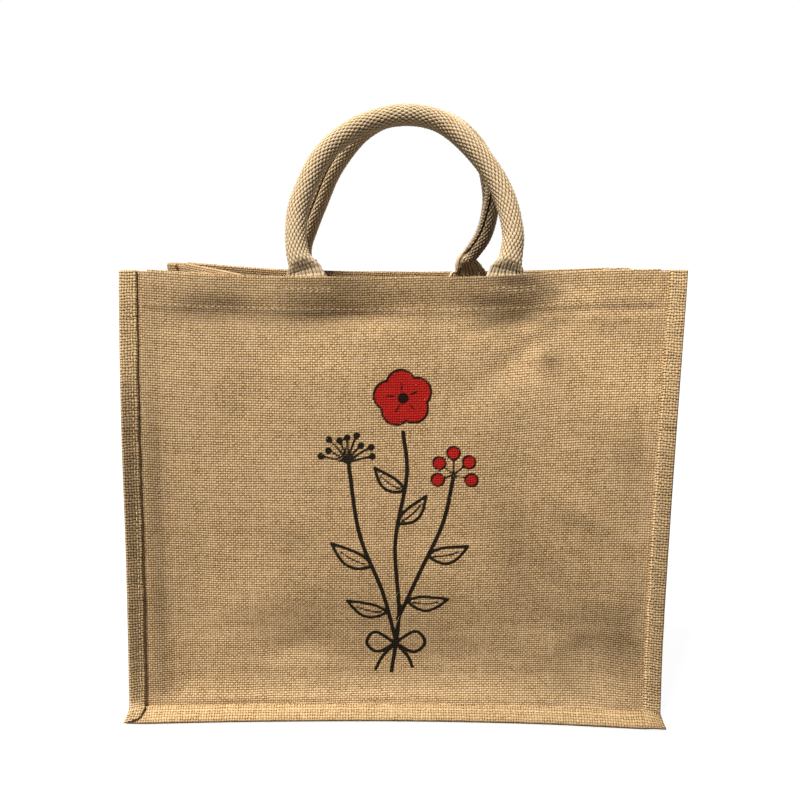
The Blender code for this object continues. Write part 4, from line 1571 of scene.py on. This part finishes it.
def jute_colour_group():
    """The colour of jute thread, with painted shade down between the threads and where Shade asks
    for it.
    """
    tree, w, given, made = new_group(
        "jute colour",
        (
            ("Height", FLOAT, 0.5),
            ("Gap", FLOAT, 0.0),
            ("Thread Tone", FLOAT, 0.5),
            ("Fibre", FLOAT, 0.5),
            ("Place", VECTOR, None),
            ("Thread Contrast", FLOAT, 0.3),
            ("Depth Contrast", FLOAT, 0.4),
            ("Tint", COLOUR, (1.0, 1.0, 1.0, 1.0)),
            ("Shade", FLOAT, 0.0),
        ),
        (("Color", COLOUR),),
    )
    tone = w.swing(given["Thread Tone"], given["Thread Contrast"])
    fibre = w.swing(given["Fibre"], 0.8)
    # Painted shade in the weave's low places.
    depth = w.math("MULTIPLY", w.math("SUBTRACT", given["Height"], 0.45), given["Depth Contrast"])
    patch = w.swing(w.noise(given["Place"], 9.0, 3.0), 0.22)
    light = w.math("ADD", w.math("ADD", tone, fibre), w.math("ADD", depth, patch))
    straw = w.ramp(w.math("ADD", light, 0.5), STRAW_COLOURS)
    straw = w.mix_colour(1.0, straw, given["Tint"], "MULTIPLY")
    # The gaps between threads are painted dark: painted shade.
    cloth = w.mix_colour(given["Gap"], straw, (*SHADE_BETWEEN_THREADS, 1.0))
    # Painted shade from the points' shade numbers.
    w.feed(made["Color"], w.mix_colour(given["Shade"], cloth, (*DEEP_SHADE, 1.0)))
    return tree


def print_group():
    """Ink laid over cloth where a distance, in millimetres, is above nought."""
    tree, w, given, made = new_group(
        "screen print",
        (
            ("Distance", FLOAT, -9.0),
            ("Threads", VECTOR, None),
            ("Height", FLOAT, 0.5),
            ("Gap", FLOAT, 0.0),
            ("Fibre", FLOAT, 0.5),
            ("Cloth", COLOUR, (0.5, 0.4, 0.3, 1.0)),
            ("Ink", COLOUR, (0.02, 0.02, 0.02, 1.0)),
        ),
        (("Color", COLOUR),),
    )
    bleed = w.math("SUBTRACT", w.noise(given["Threads"], 0.9, 2.0), 0.5)
    edge = w.math("MULTIPLY_ADD", bleed, 0.7, given["Distance"])
    edge = w.math("ADD", w.swing(given["Height"], 0.35), edge)
    worn = w.swing(given["Fibre"], 0.30)
    cover = w.math("SUBTRACT", 0.99, w.math("MAXIMUM", worn, 0.0))
    cover = w.math("MULTIPLY", w.fade(edge, -0.22, 0.22), cover)
    # Painted light and painted shade on the ink: lighter on high threads, darker in the gaps.
    lit = w.math("MULTIPLY_ADD", given["Height"], 0.55, 0.72)
    lit = w.math("MULTIPLY", lit, w.math("MULTIPLY_ADD", given["Gap"], -0.6, 1.0))
    ink = w.vector("SCALE", given["Ink"], None, lit)
    w.feed(made["Color"], w.mix_colour(cover, given["Cloth"], ink))
    return tree


def new_material(name):
    material = bpy.data.materials.new(name)
    material.use_nodes = True
    return material, Wiring(material.node_tree)


def matt_surface(w, colour, relief_height, distance):
    """Feeds the material's shader: matt, coloured, and raised by up to a distance."""
    shader = w.tree.nodes["Principled BSDF"]
    shader.inputs["Roughness"].default_value = 0.95
    shader.inputs["Specular IOR Level"].default_value = 0.06
    shader.inputs["Sheen Weight"].default_value = 0.01
    shader.inputs["Sheen Roughness"].default_value = 0.6
    raised = w.node("ShaderNodeBump")
    raised.inputs["Strength"].default_value = 1.0
    raised.inputs["Distance"].default_value = distance
    w.feed(raised.inputs["Height"], relief_height)
    w.feed(shader.inputs["Base Color"], colour)
    w.feed(shader.inputs["Normal"], raised.outputs["Normal"])


def burlap_material(name, groups, tint, depth, contrast, bump, coarse=1.0, inks=()):
    """Woven jute cloth; its thread coordinates are metres along the cloth. Depth is
    how far the lengthwise threads lie below the crosswise ones and how much painted shade
    they get, contrast how much painted shade darkens the low places, bump the relief in
    metres, and coarse how much wider threads lie."""
    material, w = new_material(name)
    threads = w.node("ShaderNodeUVMap", uv_map="threads").outputs["UV"]
    pitch = (1 / THREAD_PITCH[0] / coarse, 1 / THREAD_PITCH[1] / coarse, 1.0)
    threads = w.vector("MULTIPLY", threads, pitch)
    weave = w.place_group(
        groups["weave"],
        Threads=threads,
        Lengthwise_Width=0.385,
        Crosswise_Width=0.405,
        Lengthwise_Depth=depth,
        Lengthwise_Shade=depth * 1.6,
        Slubs=0.9 * coarse**3,
        Wander=0.6 * coarse**6,
    )
    woven = {part: weave[part] for part in ("Height", "Gap", "Fibre")}
    colour = w.place_group(
        groups["colour"],
        **woven,
        Thread_Tone=weave["Thread Tone"],
        Place=w.node("ShaderNodeTexCoord").outputs["Object"],
        Thread_Contrast=0.34,
        Depth_Contrast=contrast,
        Tint=(*tint, 1.0),
        Shade=w.attribute("shade"),
    )["Color"]
    for layer, ink in inks:
        colour = w.place_group(
            groups["print"],
            **woven,
            Distance=w.attribute(layer),
            Threads=threads,
            Cloth=colour,
            Ink=(*ink, 1.0),
        )["Color"]
    matt_surface(w, colour, w.math("MULTIPLY_ADD", woven["Fibre"], 0.35, woven["Height"]), bump)
    return material


def webbing_material(name, groups, tint):
    """Jute webbing; its relief is in the mesh and in the points' own numbers."""
    material, w = new_material(name)
    threads = w.node("ShaderNodeUVMap", uv_map="threads").outputs["UV"]
    woven = w.attribute("woven")
    fibre = w.noise(w.vector("MULTIPLY", threads, (4.0, 1.3, 1.0)), 1.0, 3.0)
    # Painted shade in the gaps and low places between the floats.
    gap = w.math("SUBTRACT", 1.0, w.fade(woven, 0.05, 0.60))
    colour = w.place_group(
        groups["colour"],
        Height=woven,
        Gap=w.math("MULTIPLY", gap, 0.8),
        Thread_Tone=w.math("MULTIPLY_ADD", w.attribute("edge"), 0.8, w.noise(threads, 0.6, 1.0)),
        Fibre=fibre,
        Place=w.node("ShaderNodeTexCoord").outputs["Object"],
        Thread_Contrast=0.30,
        Depth_Contrast=0.28,
        Tint=(*tint, 1.0),
        Shade=w.attribute("shade"),
    )["Color"]
    matt_surface(w, colour, fibre, 0.0004)
    return material


def thread_material(name, colour):
    """Spun thread: fine slanting plies and a little unevenness."""
    material, w = new_material(name)
    where = w.node("ShaderNodeTexCoord").outputs["Object"]
    plies = w.noise(w.vector("SCALE", where, None, 2600.0), 1.0, 2.0)
    patch = w.noise(where, 60.0, 2.0)
    light = w.math("MULTIPLY_ADD", w.math("ADD", plies, patch), 0.5, 0.45)
    matt_surface(w, w.vector("SCALE", colour, None, light), plies, 0.0002)
    return material


def stage_material(name):
    """Pale to the eye, with little light thrown back up at the bag."""
    material, w = new_material(name)
    w.tree.nodes.remove(w.tree.nodes["Principled BSDF"])
    pale = w.node("ShaderNodeBsdfDiffuse")
    pale.inputs["Color"].default_value = (0.05, 0.05, 0.05, 1.0)
    glow = w.node("ShaderNodeEmission")
    glow.inputs["Strength"].default_value = 0.95
    shown = w.node("ShaderNodeAddShader")
    w.feed(shown.inputs[0], pale.outputs[0])
    w.feed(shown.inputs[1], glow.outputs[0])
    bounce = w.node("ShaderNodeBsdfDiffuse")
    bounce.inputs["Color"].default_value = (0.15, 0.145, 0.14, 1.0)
    mix = w.node("ShaderNodeMixShader")
    w.feed(mix.inputs[0], w.node("ShaderNodeLightPath").outputs["Is Camera Ray"])
    w.feed(mix.inputs[1], bounce.outputs[0])
    w.feed(mix.inputs[2], shown.outputs[0])
    w.feed(w.tree.nodes["Material Output"].inputs["Surface"], mix.outputs[0])
    return material


CAMERA_AT = (0.0018, -0.6812, 0.3828)
CAMERA_DOWN = 11.10
CAMERA_ROLL = 0.07
# Lamps: energy, softness, and how far to the right and down they shine, in degrees.
LAMPS = {
    "key": (8.3, 9, 37, 63),
    "back left fill": (1.9, 70, 140, 28),
    "back right fill": (1.9, 70, -140, 28),
}
SKY_LIGHT = 0.21
FLOOR_REACH = 40.0


def add_object(name, data):
    made = bpy.data.objects.new(name, data)
    bpy.context.scene.collection.objects.link(made)
    return made


def place_camera():
    data = bpy.data.cameras.new("camera")
    data.lens = 36.0
    data.sensor_width = 36.0
    camera = add_object("camera", data)
    pitch = Matrix.Rotation(math.radians(90 - CAMERA_DOWN), 4, "X")
    roll = Matrix.Rotation(math.radians(CAMERA_ROLL), 4, "Z")
    camera.matrix_world = Matrix.Translation(CAMERA_AT) @ pitch @ roll
    bpy.context.scene.camera = camera


def light_studio():
    for name, (energy, softness, turn, drop) in LAMPS.items():
        data = bpy.data.lights.new(name, "SUN")
        data.energy = energy
        data.angle = math.radians(softness)
        turn = math.radians(turn)
        drop = math.radians(drop)
        aim = (math.sin(turn) * math.cos(drop), math.cos(turn) * math.cos(drop), -math.sin(drop))
        lamp = add_object(name, data)
        lamp.rotation_euler = Vector(aim).to_track_quat("-Z", "Y").to_euler()
    world = bpy.data.worlds.new("studio")
    world.use_nodes = True
    bpy.context.scene.world = world
    w = Wiring(world.node_tree)
    light = w.tree.nodes["Background"]
    seen = w.node("ShaderNodeBackground")
    for background, strength in ((light, SKY_LIGHT), (seen, 1.0)):
        background.inputs["Color"].default_value = (1.0, 1.0, 1.0, 1.0)
        background.inputs["Strength"].default_value = strength
    mix = w.node("ShaderNodeMixShader")
    w.feed(mix.inputs["Fac"], w.node("ShaderNodeLightPath").outputs["Is Camera Ray"])
    w.feed(mix.inputs[1], light.outputs["Background"])
    w.feed(mix.inputs[2], seen.outputs["Background"])
    w.feed(w.tree.nodes["World Output"].inputs["Surface"], mix.outputs["Shader"])
    bpy.context.scene.view_settings.view_transform = "Standard"


def lay_floor():
    mesh = bpy.data.meshes.new("floor")
    reach = FLOOR_REACH
    corners = [(-reach, -reach, 0), (reach, -reach, 0), (reach, reach, 0), (-reach, reach, 0)]
    mesh.from_pydata(corners, [], [(0, 1, 2, 3)])
    floor = add_object("floor", mesh)
    floor.data.materials.append(stage_material("pale floor"))


def fit(piece, material, node=None):
    """Gives a piece its material and its body, and hides the CAD part of the node that it stands
    for.
    """
    piece.data.materials.append(material)
    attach(piece, "root")
    if node:
        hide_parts(node)


def dress_cloth(groups):
    """The two panels and the gusset."""
    burlap = burlap_material("burlap", groups, CLOTH_TINT, 0.20, 0.80, 0.0005)
    inks = (("red_ink", RED_INK), ("black_ink", BLACK_INK))
    printed = burlap_material("printed burlap", groups, CLOTH_TINT, 0.20, 0.80, 0.0005, inks=inks)
    front = panel_cloth("front_panel_cloth", FRONT, 0.00145, front_look)
    back = panel_cloth("back_panel_cloth", BACK, 0.0030, back_look)
    gusset = gusset_cloth("gusset_cloth")
    front.data.materials.append(printed)  # outside; the common cloth is its inner face
    thicken(front, inner_material=1)
    thicken(back)
    thicken(gusset)
    for piece, node in ((front, "front_panel"), (back, "back_panel"), (gusset, "gusset")):
        fit(piece, burlap, node)
    return front, back, gusset


def dress_bindings(groups):
    upright = burlap_material("upright binding", groups, UPRIGHT_TINT, -0.10, 1.20, 0.0009, 1.15)
    low = burlap_material("foot binding", groups, FOOT_TINT, 0.10, 0.80, 0.0004, 1.1)
    for side, panel in (("front", FRONT), ("back", BACK)):
        for number, edge in enumerate(("left", "foot", "right")):
            node = f"{side}_binding_{edge}"
            piece = binding_cloth(node + "_cloth", panel, edge, 40 + number + 10 * panel.facing)
            thicken(piece)
            fit(piece, low if edge == "foot" else upright, node)


def dress_handles(groups):
    webbing = webbing_material("webbing", groups, WEBBING_TINT)
    for node, made_of in HANDLES.items():
        piece = handle_webbing(node + "_webbing", *made_of)
        fit(piece, webbing, node)


def sew():
    thread = thread_material("sewing thread", THREAD_COLOUR)
    for name, made_of in zip(("front_stitches", "back_stitches"), HANDLES.values()):
        panel = made_of[0]
        rows = (fin_stitches(*made_of), binding_stitches(panel), hem_stitches(panel))
        piece = cords(name, np.concatenate(rows), THREAD_RADIUS, 6)
        fit(piece, thread)


def fray():
    """Loose fibres, each tapered towards its tip."""
    taper = np.linspace(0.00007, 0.00003, 6)[None, :]
    piece = cords("stray_fibres", stray_fibres(900, 5), taper, 3)
    fit(piece, thread_material("loose jute fibre", FIBRE_COLOUR))


place_camera()
light_studio()
lay_floor()

groups = {"weave": plain_weave_group(), "colour": jute_colour_group(), "print": print_group()}
front, back, gusset = dress_cloth(groups)
dress_bindings(groups)
dress_handles(groups)
sew()
fray()
